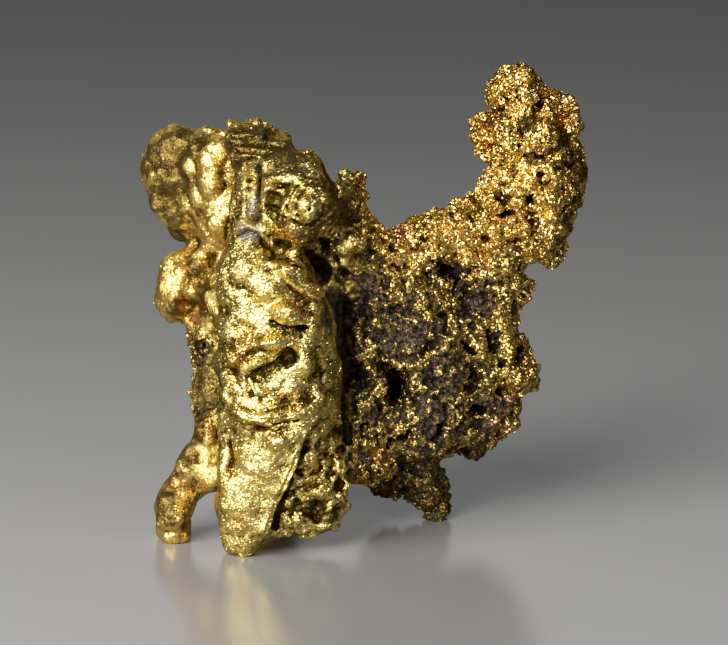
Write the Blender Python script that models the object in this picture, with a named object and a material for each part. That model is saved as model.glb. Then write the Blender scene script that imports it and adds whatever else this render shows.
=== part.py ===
"""A native metal nugget, about 31 mm tall, that stands on four feet of its own.

It grew as one piece, so it is one solid: a folded column in front, a knobbly lobe behind it
on the left, a spongy body on the right and an arm that rises from the body's corner.

The way it is made:
  1. lay each limb down as a row of balls, whose radius changes from station to station
  2. fuse the balls into one skin with a voxel remesh
  3. carve the folds, grooves and pockets by moving the skin's points
  4. grow small nodules on the spongy parts and fuse them too
  5. thin the mesh, and cut the feet flat where the nugget rests

Tables are in millimetres, in the part's own frame: +X right, +Y back, +Z up.
"""

import math
import random

import bmesh
import bpy
import numpy as np
from mathutils import Matrix, Vector, noise
from mathutils.bvhtree import BVHTree

MM = 0.001

# Driving dimensions, in millimetres.
ROUGH_VOXEL = 0.30  # grid that fuses the limbs
FINE_VOXEL = 0.22  # grid that fuses the nodules and keeps the strokes crisp
BALL_STEP = 0.35  # distance between a limb's balls, as a share of the smaller radius
SWELLS = [(2.8, 0.45), (1.3, 0.20)]  # width and height of the bumps on every surface
CRAGS = (1.5, 0.45)  # width and depth of the hollows in the spongy surfaces
NODULE_RADII = (0.40, 0.85)
NODULE_COUNT = 300
NODULE_SPACING = 0.95
TRIANGLES = 9200

# Each limb is a row of stations (x, y, z, radius).
FRONT_COLUMN = [
    (-6.8, -3.2, 25.1, 1.6),
    (-6.7, -3.2, 22.7, 1.9),
    (-6.5, -3.6, 20.2, 2.3),
    (-6.2, -4.0, 17.7, 3.1),
    (-5.6, -4.2, 15.1, 3.8),
    (-5.4, -4.4, 11.9, 3.9),
    (-5.6, -4.5, 8.9, 3.8),
    (-6.1, -4.8, 6.8, 3.3),
    (-6.9, -5.2, 4.8, 2.6),
    (-7.5, -5.5, 2.7, 2.1),
    (-8.1, -5.6, 1.2, 1.5),
]
CHEEK = [(-3.7, -4.3, 14.6, 2.2), (-3.4, -4.6, 12.2, 2.3), (-3.6, -4.6, 9.6, 2.2)]
COLUMN_TOE = [
    (-3.5, -4.0, 7.1, 1.9),
    (-3.0, -4.2, 4.8, 2.0),
    (-3.0, -4.3, 2.9, 1.9),
    (-4.1, -4.4, 2.2, 1.8),
    (-5.2, -4.4, 1.4, 1.1),
]
BULB = [(-4.3, -4.8, 23.2, 2.8), (-4.0, -5.3, 22.9, 2.6)]
BULB_CREST = [(-5.9, -4.9, 24.9, 1.1), (-4.8, -4.9, 25.0, 1.1), (-3.7, -4.7, 24.7, 1.1)]
BULB_BUTTON = [(-3.6, -7.1, 23.1, 1.3)]
BACK_LOBE = [
    (-12.2, 5.3, 24.2, 2.0),
    (-12.1, 5.3, 22.9, 2.4),
    (-11.7, 5.3, 21.2, 2.4),
    (-10.8, 4.9, 20.0, 2.1),
]
BACK_LOBE_BRIDGE = [
    (-11.1, 4.5, 24.4, 1.6),
    (-9.1, 3.0, 24.0, 1.9),
    (-8.9, 2.5, 21.5, 2.2),
    (-9.3, 2.5, 19.3, 1.8),
]
BACK_LOBE_CREST = [
    (-12.6, 5.4, 25.4, 1.1),
    (-11.4, 5.2, 25.1, 0.9),
    (-9.9, 4.0, 25.0, 0.9),
    (-8.3, 1.5, 25.3, 1.0),
]
BACK_KNOB = [(-11.0, 3.2, 16.8, 1.5), (-11.6, 3.2, 15.6, 2.0), (-12.0, 3.2, 14.6, 1.6)]
BACK_KNOB_BUMP = [(-13.2, 3.0, 15.4, 0.9), (-12.7, 3.0, 14.3, 0.9)]
BACK_KNOB_TAIL = [(-10.8, 3.0, 14.0, 1.7), (-10.0, 2.0, 12.9, 1.6)]
SLIM_COLUMN = [
    (-9.6, 1.8, 13.6, 1.6),
    (-9.9, 1.0, 11.7, 1.4),
    (-9.9, 0.1, 9.3, 1.4),
    (-9.8, -0.7, 7.5, 1.5),
    (-9.8, -1.5, 6.0, 1.5),
]
LEFT_LEG = [
    (-10.2, -1.4, 6.4, 1.3),
    (-10.9, -1.8, 5.0, 1.4),
    (-11.6, -2.2, 3.5, 1.2),
    (-12.2, -2.6, 2.3, 1.2),
    (-12.5, -2.9, 1.3, 1.2),
    (-12.4, -3.0, 0.7, 1.1),
]
LEFT_LEG_WEB = [(-10.0, -2.0, 5.5, 1.4), (-9.7, -2.6, 4.3, 1.2)]
BODY_CORE = [
    (-1.2, 1.5, 15.7, 2.9),
    (0.4, 1.8, 16.3, 3.4),
    (2.4, 2.2, 14.9, 4.1),
    (3.7, 2.5, 12.1, 4.6),
    (4.4, 2.5, 9.9, 4.5),
    (3.7, 2.3, 8.3, 4.1),
    (1.7, 1.8, 7.4, 3.6),
]
BODY_LEFT = [
    (-2.2, 0.8, 17.2, 2.6),
    (-2.2, 0.8, 13.2, 3.4),
    (-1.2, 0.8, 9.8, 3.5),
    (-0.6, 0.6, 6.9, 3.1),
    (-0.4, 0.2, 5.4, 2.2),
]
BODY_SKIRT = [(-0.3, 0.0, 5.4, 2.2), (0.3, -0.4, 4.8, 1.6)]
BODY_RIGHT = [
    (7.0, 2.6, 14.8, 2.6),
    (8.3, 2.8, 11.6, 2.4),
    (8.8, 2.9, 9.6, 2.3),
    (7.8, 2.9, 7.6, 2.3),
    (6.8, 2.9, 6.3, 2.2),
]
BODY_LIP = [(7.0, 1.6, 16.6, 1.5), (8.9, 2.2, 15.9, 1.6), (10.0, 2.2, 15.5, 1.3)]
BODY_RIGHT_LOBE = [(9.7, 2.6, 11.3, 1.6), (9.9, 2.6, 9.6, 1.4)]
BODY_LOW_RIGHT = [(5.0, 2.8, 6.3, 2.3), (7.0, 2.9, 5.6, 1.7), (8.3, 2.9, 5.5, 1.2)]
NECK = [
    (-1.6, 0.2, 18.6, 1.7),
    (0.7, 1.0, 18.4, 1.8),
    (2.3, 1.4, 18.0, 2.1),
    (4.3, 1.8, 18.3, 2.4),
    (6.3, 2.0, 18.9, 2.5),
    (8.2, 2.2, 19.2, 2.7),
    (9.9, 2.4, 19.8, 2.8),
]
FINGER = [
    (-1.3, -0.5, 23.6, 0.7),
    (-1.0, -0.4, 22.8, 1.0),
    (-0.6, -0.1, 21.8, 1.2),
    (-0.4, 0.1, 20.5, 1.3),
    (-0.2, 0.3, 19.3, 1.5),
]
WEB_BEHIND_BULB = [
    (-5.8, -1.6, 23.0, 1.8),
    (-4.2, -1.2, 21.6, 2.2),
    (-2.6, -0.6, 20.6, 2.0),
    (-1.0, 0.2, 19.4, 1.8),
]
BEADS = [(-1.3, -1.4, 19.2, 0.8), (-1.2, -2.7, 19.4, 0.9), (-0.5, -2.4, 19.9, 0.6)]
LOWER_BEAD = [(-1.2, -1.4, 18.2, 0.6), (-1.1, -2.6, 18.3, 0.6)]
HOOK = [(-2.1, -2.0, 18.2, 0.5), (-2.0, -2.3, 17.3, 0.5), (-1.2, -2.0, 16.5, 0.6)]
ARM = [
    (10.5, 2.4, 20.2, 2.8),
    (11.1, 2.6, 21.8, 2.9),
    (11.1, 2.6, 23.5, 2.7),
    (10.6, 2.6, 25.1, 2.5),
    (10.0, 2.6, 26.7, 2.3),
    (9.8, 2.6, 28.2, 1.8),
    (9.8, 2.6, 29.6, 1.2),
]
ARM_EDGE = [
    (12.6, 2.6, 28.5, 0.9),
    (12.8, 2.6, 27.1, 1.1),
    (12.3, 2.6, 25.5, 1.3),
    (13.2, 2.8, 23.3, 1.3),
    (13.2, 2.8, 21.8, 1.3),
    (12.3, 2.6, 19.8, 1.4),
    (11.9, 2.6, 18.1, 1.2),
]
ARM_LEFT = [(7.9, 2.4, 26.2, 0.8), (8.4, 2.4, 25.2, 0.9)]
ARM_SPUR = [(7.8, 2.0, 23.1, 0.7), (7.9, 2.0, 21.9, 0.9)]
REAR_FOOT = [
    (2.1, 2.6, 3.9, 2.4),
    (3.2, 2.4, 2.8, 1.8),
    (4.1, 2.2, 1.7, 1.2),
    (4.7, 2.0, 0.6, 1.1),
]
HIDDEN_FOOT = [
    (-4.9, 4.0, 7.6, 2.6),
    (-5.2, 5.0, 5.7, 2.1),
    (-6.2, 5.2, 3.7, 1.7),
    (-5.7, 5.8, 1.9, 1.6),
    (-6.1, 5.6, 0.5, 1.3),
]
BACK_WALL = [
    (-8.1, 1.5, 15.0, 2.6),
    (-4.9, 3.0, 13.4, 3.5),
    (-2.6, 4.4, 12.2, 3.3),
    (0.2, 4.7, 13.2, 3.4),
    (2.4, 4.3, 10.6, 3.6),
]
LIMBS = [
    FRONT_COLUMN, CHEEK, COLUMN_TOE, BULB, BULB_CREST, BULB_BUTTON, BACK_LOBE,
    BACK_LOBE_BRIDGE, BACK_LOBE_CREST, BACK_KNOB, BACK_KNOB_BUMP, BACK_KNOB_TAIL,
    SLIM_COLUMN, LEFT_LEG, LEFT_LEG_WEB, BODY_CORE, BODY_LEFT, BODY_SKIRT, BODY_RIGHT,
    BODY_LIP, BODY_RIGHT_LOBE, BODY_LOW_RIGHT, NECK, FINGER, WEB_BEHIND_BULB, BEADS,
    LOWER_BEAD, HOOK, ARM, ARM_EDGE, ARM_LEFT, ARM_SPUR, REAR_FOOT, HIDDEN_FOOT,
    BACK_WALL,
]

# The flat ledges on top of the column: (centre, half sizes, lean in degrees).
CROWN_LEDGES = [
    ((-7.2, -1.4, 26.1), (1.2, 2.4, 0.8), 8),
    ((-5.6, -1.6, 25.7), (1.15, 2.6, 0.8), -4),
    ((-6.4, -3.2, 25.1), (1.6, 1.6, 0.7), 2),
]

# Round knobs on the skin that faces forward: (x, z, radius).
KNOBS = [
    (-13.0, 22.9, 1.1), (-10.1, 24.2, 0.9), (-9.9, 22.9, 0.9), (-11.4, 23.4, 0.8),
    (-11.7, 20.9, 0.9), (-9.8, 20.4, 0.9), (-12.2, 25.3, 0.6), (-11.2, 25.2, 0.6),
    (-13.4, 20.9, 0.6), (-12.4, 19.6, 0.7), (-13.2, 24.6, 0.7), (-10.9, 21.6, 0.7),
    (-13.2, 15.6, 0.6), (-12.2, 15.8, 0.7), (-12.3, 14.5, 0.7), (-10.9, 17.3, 0.8),
    (-10.7, 15.7, 0.8), (-12.0, 16.9, 0.6), (-12.8, 2.9, 0.6), (-11.8, 3.0, 0.5),
    (-12.0, 1.7, 0.6), (-11.7, 5.1, 0.7), (-10.6, 7.2, 0.8), (-11.3, 6.3, 0.6),
    (-4.4, 19.2, 1.1), (-7.6, 18.9, 1.1), (-6.3, 17.6, 1.0), (-4.8, 16.5, 0.9),
    (-3.8, 12.8, 1.0), (-4.3, 11.5, 0.9), (-5.5, 8.3, 0.8), (1.8, 15.1, 0.8),
    (2.0, 16.8, 0.8), (4.3, 19.1, 0.8), (5.9, 20.2, 0.8), (0.0, 20.7, 0.8),
    (1.9, 19.6, 0.7), (9.2, 13.2, 0.9), (9.8, 12.0, 0.9), (9.4, 10.1, 0.9),
    (5.6, 14.3, 0.8), (3.9, 15.6, 0.8), (0.1, 12.2, 0.7), (3.9, 12.2, 0.8),
    (5.9, 9.8, 0.8), (7.0, 6.0, 0.8), (8.4, 5.6, 0.7), (0.7, 5.3, 0.8), (9.4, 25.4, 0.8),
    (9.2, 23.6, 0.9), (11.9, 27.0, 0.7), (10.0, 29.8, 0.6), (12.3, 29.0, 0.5),
]

# Strokes of the carving, as points (x, z) on the skin that faces forward.
# Each has a reach and a depth. A depth below zero raises a ridge.
STROKES = [
    ("crease under the bulb", [(-6.4, 20.7), (-5.2, 20.0), (-4.1, 19.7), (-2.9, 19.6)], 0.8, 0.9),
    ("gutter left of the bulb", [(-6.9, 25.2), (-6.8, 23.6), (-6.9, 22.2)], 0.6, 0.9),
    ("ridge left of the gutter", [(-7.5, 25.4), (-7.5, 23.4)], 0.5, -0.4),
    ("lip under the gutter", [(-8.1, 21.2), (-7.3, 21.7), (-6.4, 21.3), (-5.9, 20.5)], 0.5, -0.5),
    ("upper edge of the bulb", [(-6.2, 24.6), (-5.5, 24.9), (-4.5, 24.9), (-3.4, 24.6)], 0.5, -0.4),
    ("hollow of the swirl", [(-5.9, 22.6), (-5.8, 23.6), (-5.2, 24.2)], 0.7, 0.7),
    ("ridge of the swirl", [(-5.1, 22.7), (-4.9, 23.5), (-4.4, 24.1)], 0.4, -0.3),
    ("ring above the button", [(-4.6, 24.4), (-3.4, 24.7), (-2.3, 24.2)], 0.4, 0.4),
    ("ring under the button", [(-4.8, 22.1), (-3.6, 21.6), (-2.3, 22.2)], 0.5, 0.4),
    ("fold above the lip", [(-4.9, 18.9), (-4.0, 18.0), (-2.9, 17.2)], 0.6, -0.5),
    ("shade of the fold", [(-5.0, 18.1), (-4.2, 17.2), (-3.3, 16.4)], 0.5, 0.5),
    ("groove under the lip", [(-5.6, 15.6), (-4.7, 15.3), (-3.8, 15.3)], 0.5, 0.8),
    ("hole beside the lip", [(-3.7, 15.3)], 0.6, 1.0),
    ("brow over the eye", [(-8.3, 13.3), (-7.6, 14.1), (-6.8, 14.6), (-5.4, 14.7)], 0.7, -0.6),
    ("eye pocket", [(-7.0, 12.2), (-6.3, 12.6), (-5.5, 13.1), (-4.8, 13.7)], 0.8, 1.2),
    ("left comb of the eye", [(-8.0, 12.1)], 0.5, 0.6),
    ("middle comb of the eye", [(-7.2, 11.4)], 0.5, 0.5),
    ("valley above the rim", [(-6.4, 10.9), (-4.7, 10.6), (-3.3, 10.9)], 0.5, 0.5),
    ("rim under the eye", [(-8.7, 10.8), (-7.6, 10.0), (-6.3, 9.7), (-4.4, 10.1), (-2.9, 10.9)], 0.7, -0.5),
    ("step under the rim", [(-6.6, 9.1), (-5.5, 8.8), (-4.4, 9.2)], 0.6, 0.4),
    ("crack on the left", [(-8.6, 7.2), (-8.4, 6.4), (-8.6, 5.8)], 0.5, 0.5),
    ("edge of the fold", [(-4.0, 7.6), (-4.7, 6.0), (-5.6, 4.1), (-6.4, 1.9)], 0.6, -0.4),
    ("step down to the toe", [(-2.6, 8.8), (-3.4, 7.4), (-4.1, 5.7), (-4.9, 3.9), (-5.6, 2.0)], 0.8, 0.9),
    ("hole beside the toe", [(-2.1, 5.9)], 0.9, 1.5),
    ("pit in the toe, left", [(-4.2, 4.6)], 0.5, 0.6),
    ("pit in the toe, right", [(-1.5, 4.3)], 0.5, 0.6),
    ("hollow in the toe", [(-3.4, 3.4), (-2.9, 2.5)], 0.9, 0.6),
    ("crevice under the hook", [(-2.7, 18.2), (-2.5, 17.0), (-1.4, 15.9)], 0.6, 0.8),
    ("crevice beside the column", [(-1.0, 15.3), (-0.9, 12.0), (-0.8, 8.4)], 0.7, 1.0),
    ("crevice in the body", [(0.2, 15.4), (0.2, 12.4)], 0.6, 0.8),
    ("slit in the body", [(5.6, 12.9), (6.4, 12.6), (7.0, 12.1)], 0.5, 0.7),
    ("upright slit in the body", [(7.1, 10.8), (7.0, 9.4)], 0.5, 0.8),
    ("low pit in the body", [(2.7, 6.6)], 0.6, 0.8),
    ("crack at the arm's foot", [(8.6, 22.1), (10.0, 22.2), (11.3, 22.4)], 0.5, 0.6),
    ("crack in the arm", [(10.8, 24.8), (11.6, 23.2), (12.2, 22.6)], 0.5, 0.8),
]

# Pockets that open towards the front: (x, z, half width, half height, depth).
POCKETS = [
    ("upper pocket", 5.2, 17.0, 1.4, 0.9, 2.6),
    ("hollow below the upper pocket", 6.8, 15.2, 1.9, 1.4, 1.1),
    ("middle pocket", 2.0, 9.8, 1.0, 1.7, 2.6),
    ("notch of the right lobe", 8.5, 12.4, 0.6, 0.8, 1.0),
    ("pocket between the beads", -1.5, 17.3, 0.5, 0.7, 1.4),
    ("pocket in the neck", 8.9, 20.9, 0.8, 0.4, 1.1),
    ("pocket in the arm", 11.3, 28.0, 0.5, 0.8, 1.0),
]

NATIVE_COPPER = (0.62, 0.42, 0.12, 1.0)


def clear_scene():
    for obj in list(bpy.data.objects):
        bpy.data.objects.remove(obj)


def apply_modifier(obj, kind, **settings):
    modifier = obj.modifiers.new(kind.lower(), kind)
    for name, value in settings.items():
        setattr(modifier, name, value)
    with bpy.context.temp_override(object=obj, active_object=obj):
        bpy.ops.object.modifier_apply(modifier=modifier.name)


def ball_template():
    """Points and faces of a ball of radius 1."""
    bm = bmesh.new()
    bmesh.ops.create_icosphere(bm, subdivisions=3, radius=1)
    points = np.array([vertex.co[:] for vertex in bm.verts])
    faces = np.array([[vertex.index for vertex in face.verts] for face in bm.faces])
    bm.free()
    return points, faces


def mesh_of_balls(balls):
    """One mesh of many balls, each (x, y, z, radius)."""
    points, faces = ball_template()
    balls = np.array(balls)
    all_points = points[None] * balls[:, None, 3:] + balls[:, None, :3]
    all_faces = faces[None] + len(points) * np.arange(len(balls))[:, None, None]
    mesh = bpy.data.meshes.new("balls")
    mesh.from_pydata(all_points.reshape(-1, 3) * MM, [], all_faces.reshape(-1, 3))
    return mesh


def add_balls(obj, balls):
    mesh = mesh_of_balls(balls)
    bm = bmesh.new()
    bm.from_mesh(obj.data)
    bm.from_mesh(mesh)
    bm.to_mesh(obj.data)
    bm.free()
    bpy.data.meshes.remove(mesh)


def limb_balls(stations):
    """Balls from station to station, close enough for the remesh to fuse them."""
    balls = [stations[-1]]
    for start, end in zip(stations, stations[1:]):
        start, end = np.array(start), np.array(end)
        gap = BALL_STEP * min(start[3], end[3])
        count = max(1, math.ceil(np.linalg.norm(end[:3] - start[:3]) / gap))
        balls += [start + (end - start) * i / count for i in range(count)]
    return balls


def add_ledge(bm, centre, half_sizes, lean):
    place = Matrix.Translation(Vector(centre) * MM) @ Matrix.Rotation(math.radians(lean), 4, "Y")
    sizes = Matrix.Diagonal([2 * MM * half for half in half_sizes] + [1])
    bmesh.ops.create_cube(bm, size=1, matrix=place @ sizes)


def rough_nugget():
    """All limbs and ledges in one object, fused into one skin."""
    bm = bmesh.new()
    for ledge in CROWN_LEDGES:
        add_ledge(bm, *ledge)
    mesh = bpy.data.meshes.new("nugget")
    bm.to_mesh(mesh)
    bm.free()
    obj = bpy.data.objects.new("nugget", mesh)
    bpy.context.scene.collection.objects.link(obj)
    add_balls(obj, [ball for stations in LIMBS for ball in limb_balls(stations)])
    fuse(obj, ROUGH_VOXEL)
    return obj


def fuse(obj, voxel):
    apply_modifier(obj, "REMESH", mode="VOXEL", voxel_size=voxel * MM)
    apply_modifier(obj, "SMOOTH", factor=0.5, iterations=1)


def points_of(obj):
    """The mesh's points in millimetres."""
    found = np.empty(len(obj.data.vertices) * 3, np.float32)
    obj.data.vertices.foreach_get("co", found)
    return found.reshape(-1, 3).astype(float) / MM


def normals_of(obj):
    found = np.empty(len(obj.data.vertices) * 3, np.float32)
    obj.data.vertex_normals.foreach_get("vector", found)
    return found.reshape(-1, 3).astype(float)


def place_points(obj, points):
    obj.data.vertices.foreach_set("co", (points * MM).astype(np.float32).ravel())
    obj.data.update()


def skin_tree(obj):
    faces = [face.vertices[:] for face in obj.data.polygons]
    return BVHTree.FromPolygons(points_of(obj).tolist(), faces)


def on_front(tree, x, z):
    """Where a line from the front first meets the skin."""
    hit = tree.ray_cast(Vector((x, -30, z)), Vector((0, 1, 0)))[0]
    if hit is None:
        raise ValueError(f"no skin at x {x}, z {z}")
    return hit


def noise_at(points, width, seed):
    """Smooth noise from about -1 to 1, whose bumps are so many millimetres wide."""
    shift = Vector((seed, 2 * seed, 3 * seed))
    return np.array([noise.noise(Vector(point) / width + shift) for point in points])


def swell(obj):
    """Broad, shallow bumps, so that no limb looks turned."""
    points, normals = points_of(obj), normals_of(obj)
    height = sum(noise_at(points, width, 1) * rise for width, rise in SWELLS)
    place_points(obj, points + normals * height[:, None])


def spongy_share(points):
    """1 on the body, the neck, the arm and the finger; 0 on the column and the lobe."""
    right = np.clip((points[:, 0] + 2.2) / 0.8, 0, 1)
    back = np.clip((points[:, 1] - 0.5) / 1.5, 0, 1)
    high = np.clip((points[:, 2] - 1.5) / 1.5, 0, 1)
    return np.maximum(right, back * 0.8) * high


def add_knobs(obj):
    tree = skin_tree(obj)
    balls = []
    for x, z, radius in KNOBS:
        spot = on_front(tree, x, z)
        sunk = spot - tree.find_nearest(spot)[1] * radius * 0.45
        balls.append((*sunk, radius))
    add_balls(obj, balls)


def grow_nodules(obj):
    """Balls half sunk in the spongy skin, never closer than the spacing."""
    random.seed(7)
    points = points_of(obj)
    normals, spongy = normals_of(obj), spongy_share(points)
    centres, balls = np.empty((0, 3)), []
    while len(balls) < NODULE_COUNT:
        i = random.randrange(len(points))
        if spongy[i] < 0.5 or np.any(np.linalg.norm(centres - points[i], axis=1) < NODULE_SPACING):
            continue
        centres = np.vstack([centres, points[i]])
        radius = random.uniform(*NODULE_RADII)
        balls.append((*(points[i] - normals[i] * radius * 0.5), radius))
    add_balls(obj, balls)


def crumble(obj):
    """Hollows between the nodules of the spongy skin."""
    points, normals = points_of(obj), normals_of(obj)
    width, depth = CRAGS
    hollow = np.clip(noise_at(points, width, 5) * 2.0, 0, 1) * spongy_share(points)
    place_points(obj, points - normals * (depth * hollow)[:, None])


def route_points(tree, route, spacing=0.2):
    """Points on the skin along a route of (x, z) points."""
    found = [on_front(tree, *route[-1])]
    for (x0, z0), (x1, z1) in zip(route, route[1:]):
        steps = max(1, math.ceil(math.hypot(x1 - x0, z1 - z0) / spacing))
        for i in range(steps):
            share = i / steps
            found.append(on_front(tree, x0 + (x1 - x0) * share, z0 + (z1 - z0) * share))
    return np.array(found)


def falloff(distance, reach):
    """1 on the stroke, falling smoothly to 0 at its reach."""
    return np.clip(1 - (distance / reach) ** 2, 0, 1) ** 1.5


def carve_strokes(obj):
    tree = skin_tree(obj)
    points, normals = points_of(obj), normals_of(obj)
    depths = np.zeros(len(points))
    for _name, route, reach, depth in STROKES:
        distance = np.full(len(points), np.inf)
        for spot in route_points(tree, route):
            distance = np.minimum(distance, np.linalg.norm(points - spot, axis=1))
        depths += depth * falloff(distance, reach)
    place_points(obj, points - normals * depths[:, None])


def press_pockets(obj):
    """Each pocket is pressed straight back, as a bowl with an oval mouth."""
    tree, points = skin_tree(obj), points_of(obj)
    for _name, x, z, half_width, half_height, depth in POCKETS:
        mouth = on_front(tree, x, z)
        away = np.hypot((points[:, 0] - x) / half_width, (points[:, 2] - z) / half_height)
        near = np.abs(points[:, 1] - mouth.y) < 2 * max(half_width, half_height)
        points[:, 1] += np.where(near, depth * falloff(away, 1.25), 0)
    place_points(obj, points)


def keep_largest_body(obj):
    """Drops any stray shell that the remesh closed off."""
    bm = bmesh.new()
    bm.from_mesh(obj.data)
    unseen, largest = set(bm.verts), []
    while unseen:
        body, front = [], [unseen.pop()]
        while front:
            vertex = front.pop()
            body.append(vertex)
            for edge in vertex.link_edges:
                other = edge.other_vert(vertex)
                if other in unseen:
                    unseen.remove(other)
                    front.append(other)
        largest = max(largest, body, key=len)
    bmesh.ops.delete(bm, geom=list(set(bm.verts) - set(largest)), context="VERTS")
    bm.to_mesh(obj.data)
    bm.free()


def thin(obj):
    apply_modifier(obj, "TRIANGULATE")
    apply_modifier(
        obj, "DECIMATE", ratio=TRIANGLES / len(obj.data.polygons), use_collapse_triangulate=True
    )


def cut_feet_flat(obj):
    """The nugget rests on the plane z = 0, where each foot ends in a flat face."""
    bm = bmesh.new()
    bm.from_mesh(obj.data)
    everything = bm.verts[:] + bm.edges[:] + bm.faces[:]
    cut = bmesh.ops.bisect_plane(
        bm, geom=everything, plane_co=(0, 0, 0), plane_no=(0, 0, -1), clear_outer=True
    )
    rims = [item for item in cut["geom_cut"] if isinstance(item, bmesh.types.BMEdge)]
    bmesh.ops.holes_fill(bm, edges=rims)
    bmesh.ops.triangulate(bm, faces=[face for face in bm.faces if len(face.verts) > 3])
    bmesh.ops.recalc_face_normals(bm, faces=bm.faces)
    bm.to_mesh(obj.data)
    bm.free()


def native_metal():
    material = bpy.data.materials.new("native_copper")
    material.use_nodes = True
    shader = material.node_tree.nodes["Principled BSDF"]
    shader.inputs["Base Color"].default_value = NATIVE_COPPER
    shader.inputs["Metallic"].default_value = 1.0
    shader.inputs["Roughness"].default_value = 0.35
    return material


def main():
    clear_scene()
    nugget = rough_nugget()
    swell(nugget)
    add_knobs(nugget)
    grow_nodules(nugget)
    fuse(nugget, FINE_VOXEL)
    crumble(nugget)
    carve_strokes(nugget)
    press_pockets(nugget)
    fuse(nugget, FINE_VOXEL)
    keep_largest_body(nugget)
    thin(nugget)
    cut_feet_flat(nugget)
    nugget.data.shade_smooth()
    nugget.data.materials.append(native_metal())


main()
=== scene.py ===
# %% [markdown]
# # A native metal nugget
# Native copper and its gold-coloured neighbours grow in cracks of the rock as one branching
# mass. This one stands upright. A folded column with a rolled bulb on top is in front. Behind
# it on the left is a lobe of knobs, on the right a spongy body, and from the body's corner an
# arm rises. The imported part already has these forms. Here it gets its fine relief, its
# crystals and its metal.

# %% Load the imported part
import math
from contextlib import contextmanager

import bmesh
import bpy
import numpy as np
from mathutils import Matrix, Vector, kdtree, noise
from mathutils.bvhtree import BVHTree


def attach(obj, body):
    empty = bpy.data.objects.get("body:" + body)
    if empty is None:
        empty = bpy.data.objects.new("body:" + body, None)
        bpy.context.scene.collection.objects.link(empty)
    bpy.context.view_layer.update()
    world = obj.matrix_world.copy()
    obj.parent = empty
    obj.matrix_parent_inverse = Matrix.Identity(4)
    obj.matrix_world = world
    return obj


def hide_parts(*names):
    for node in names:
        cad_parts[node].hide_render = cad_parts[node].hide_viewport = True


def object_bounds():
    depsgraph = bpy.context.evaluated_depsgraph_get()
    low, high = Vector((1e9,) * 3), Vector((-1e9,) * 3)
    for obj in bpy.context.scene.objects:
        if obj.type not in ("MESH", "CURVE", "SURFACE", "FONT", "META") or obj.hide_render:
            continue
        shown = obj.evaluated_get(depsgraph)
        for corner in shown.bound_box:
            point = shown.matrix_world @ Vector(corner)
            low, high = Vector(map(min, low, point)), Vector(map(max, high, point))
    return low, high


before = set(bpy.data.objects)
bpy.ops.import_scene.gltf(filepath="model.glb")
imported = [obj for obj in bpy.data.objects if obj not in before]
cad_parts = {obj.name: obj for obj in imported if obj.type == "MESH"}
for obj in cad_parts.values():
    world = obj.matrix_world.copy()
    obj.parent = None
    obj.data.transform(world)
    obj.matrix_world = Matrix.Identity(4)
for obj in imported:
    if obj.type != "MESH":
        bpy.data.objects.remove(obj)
cad_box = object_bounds()
CAD_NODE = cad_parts["nugget"]
print("the packed nugget has", len(CAD_NODE.data.polygons), "faces")

# %% [markdown]
# ## A copy to sculpt
# A sculptor starts from a blocked-out form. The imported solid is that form, but its mesh is
# loose triangles, so the copy's doubles are merged first. A voxel remesh then gives it an even
# grid of small faces, which a stroke can move anywhere. A subdivision surface would also give
# small faces, but it would keep the long, uneven triangles of the solid.

# %% Work in millimetres
MM = 0.001


def put_in_scene(name, data):
    """A new object at the origin that holds this mesh, lamp or camera."""
    obj = bpy.data.objects.new(name, data)
    bpy.context.scene.collection.objects.link(obj)
    return obj


def select_only(obj):
    bpy.ops.object.select_all(action="DESELECT")
    obj.select_set(True)
    bpy.context.view_layer.objects.active = obj


@contextmanager
def whole_mesh_selected(obj):
    """Goes into edit mode with all selected, and back to object mode afterwards."""
    select_only(obj)
    bpy.ops.object.mode_set(mode="EDIT")
    bpy.ops.mesh.select_all(action="SELECT")
    yield
    bpy.ops.object.mode_set(mode="OBJECT")


def apply_modifier(obj, kind, **settings):
    select_only(obj)
    modifier = obj.modifiers.new(kind.lower(), kind)
    for name, value in settings.items():
        setattr(modifier, name, value)
    bpy.ops.object.modifier_apply(modifier=modifier.name)


def remesh(obj, voxel):
    apply_modifier(obj, "REMESH", mode="VOXEL", voxel_size=voxel * MM)


# %% Copy, merge and remesh
BLOCK_VOXEL = 0.16
SKIN_VOXEL = 0.105
SAME_PLACE = 0.01

nugget = put_in_scene("nugget_skin", CAD_NODE.data.copy())
with whole_mesh_selected(nugget):
    bpy.ops.mesh.remove_doubles(threshold=SAME_PLACE * MM)
remesh(nugget, BLOCK_VOXEL)
apply_modifier(nugget, "SMOOTH", factor=0.5, iterations=5)
remesh(nugget, SKIN_VOXEL)
apply_modifier(nugget, "SMOOTH", factor=0.5, iterations=2)
print("points to sculpt:", len(nugget.data.vertices))

# %% [markdown]
# ## Sculpting tools
# Every stroke of a sculpting brush does the same thing. It finds the points near the stroke,
# weighs them by a smooth falloff, and moves them along their normals. So that the strokes are
# the same on each run, they are given here as numbers in millimetres. A stroke's place is
# (x, z), and it lands where a line from the front first meets the skin.

# %% Read and move the points


def read_rows(items, key, width, kind=np.float32):
    """One property of all the items, a row for each."""
    found = np.empty(len(items) * width, kind)
    items.foreach_get(key, found)
    return found.reshape(-1, width)


def points_of(obj):
    return read_rows(obj.data.vertices, "co", 3).astype(float) / MM


def normals_of(obj):
    return read_rows(obj.data.vertex_normals, "vector", 3).astype(float)


def place_points(obj, points):
    obj.data.vertices.foreach_set("co", (points * MM).astype(np.float32).ravel())
    obj.data.update()


def push_out(obj, heights):
    """Moves each point along its normal, by its own height in millimetres."""
    place_points(obj, points_of(obj) + normals_of(obj) * heights[:, None])


# %% Strokes that land on the front
BEFORE_ALL = -30
STROKE_STEP = 0.12
FALLOFF = 1.5


def skin_tree(obj):
    return BVHTree.FromPolygons(
        points_of(obj).tolist(), [face.vertices[:] for face in obj.data.polygons]
    )


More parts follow.
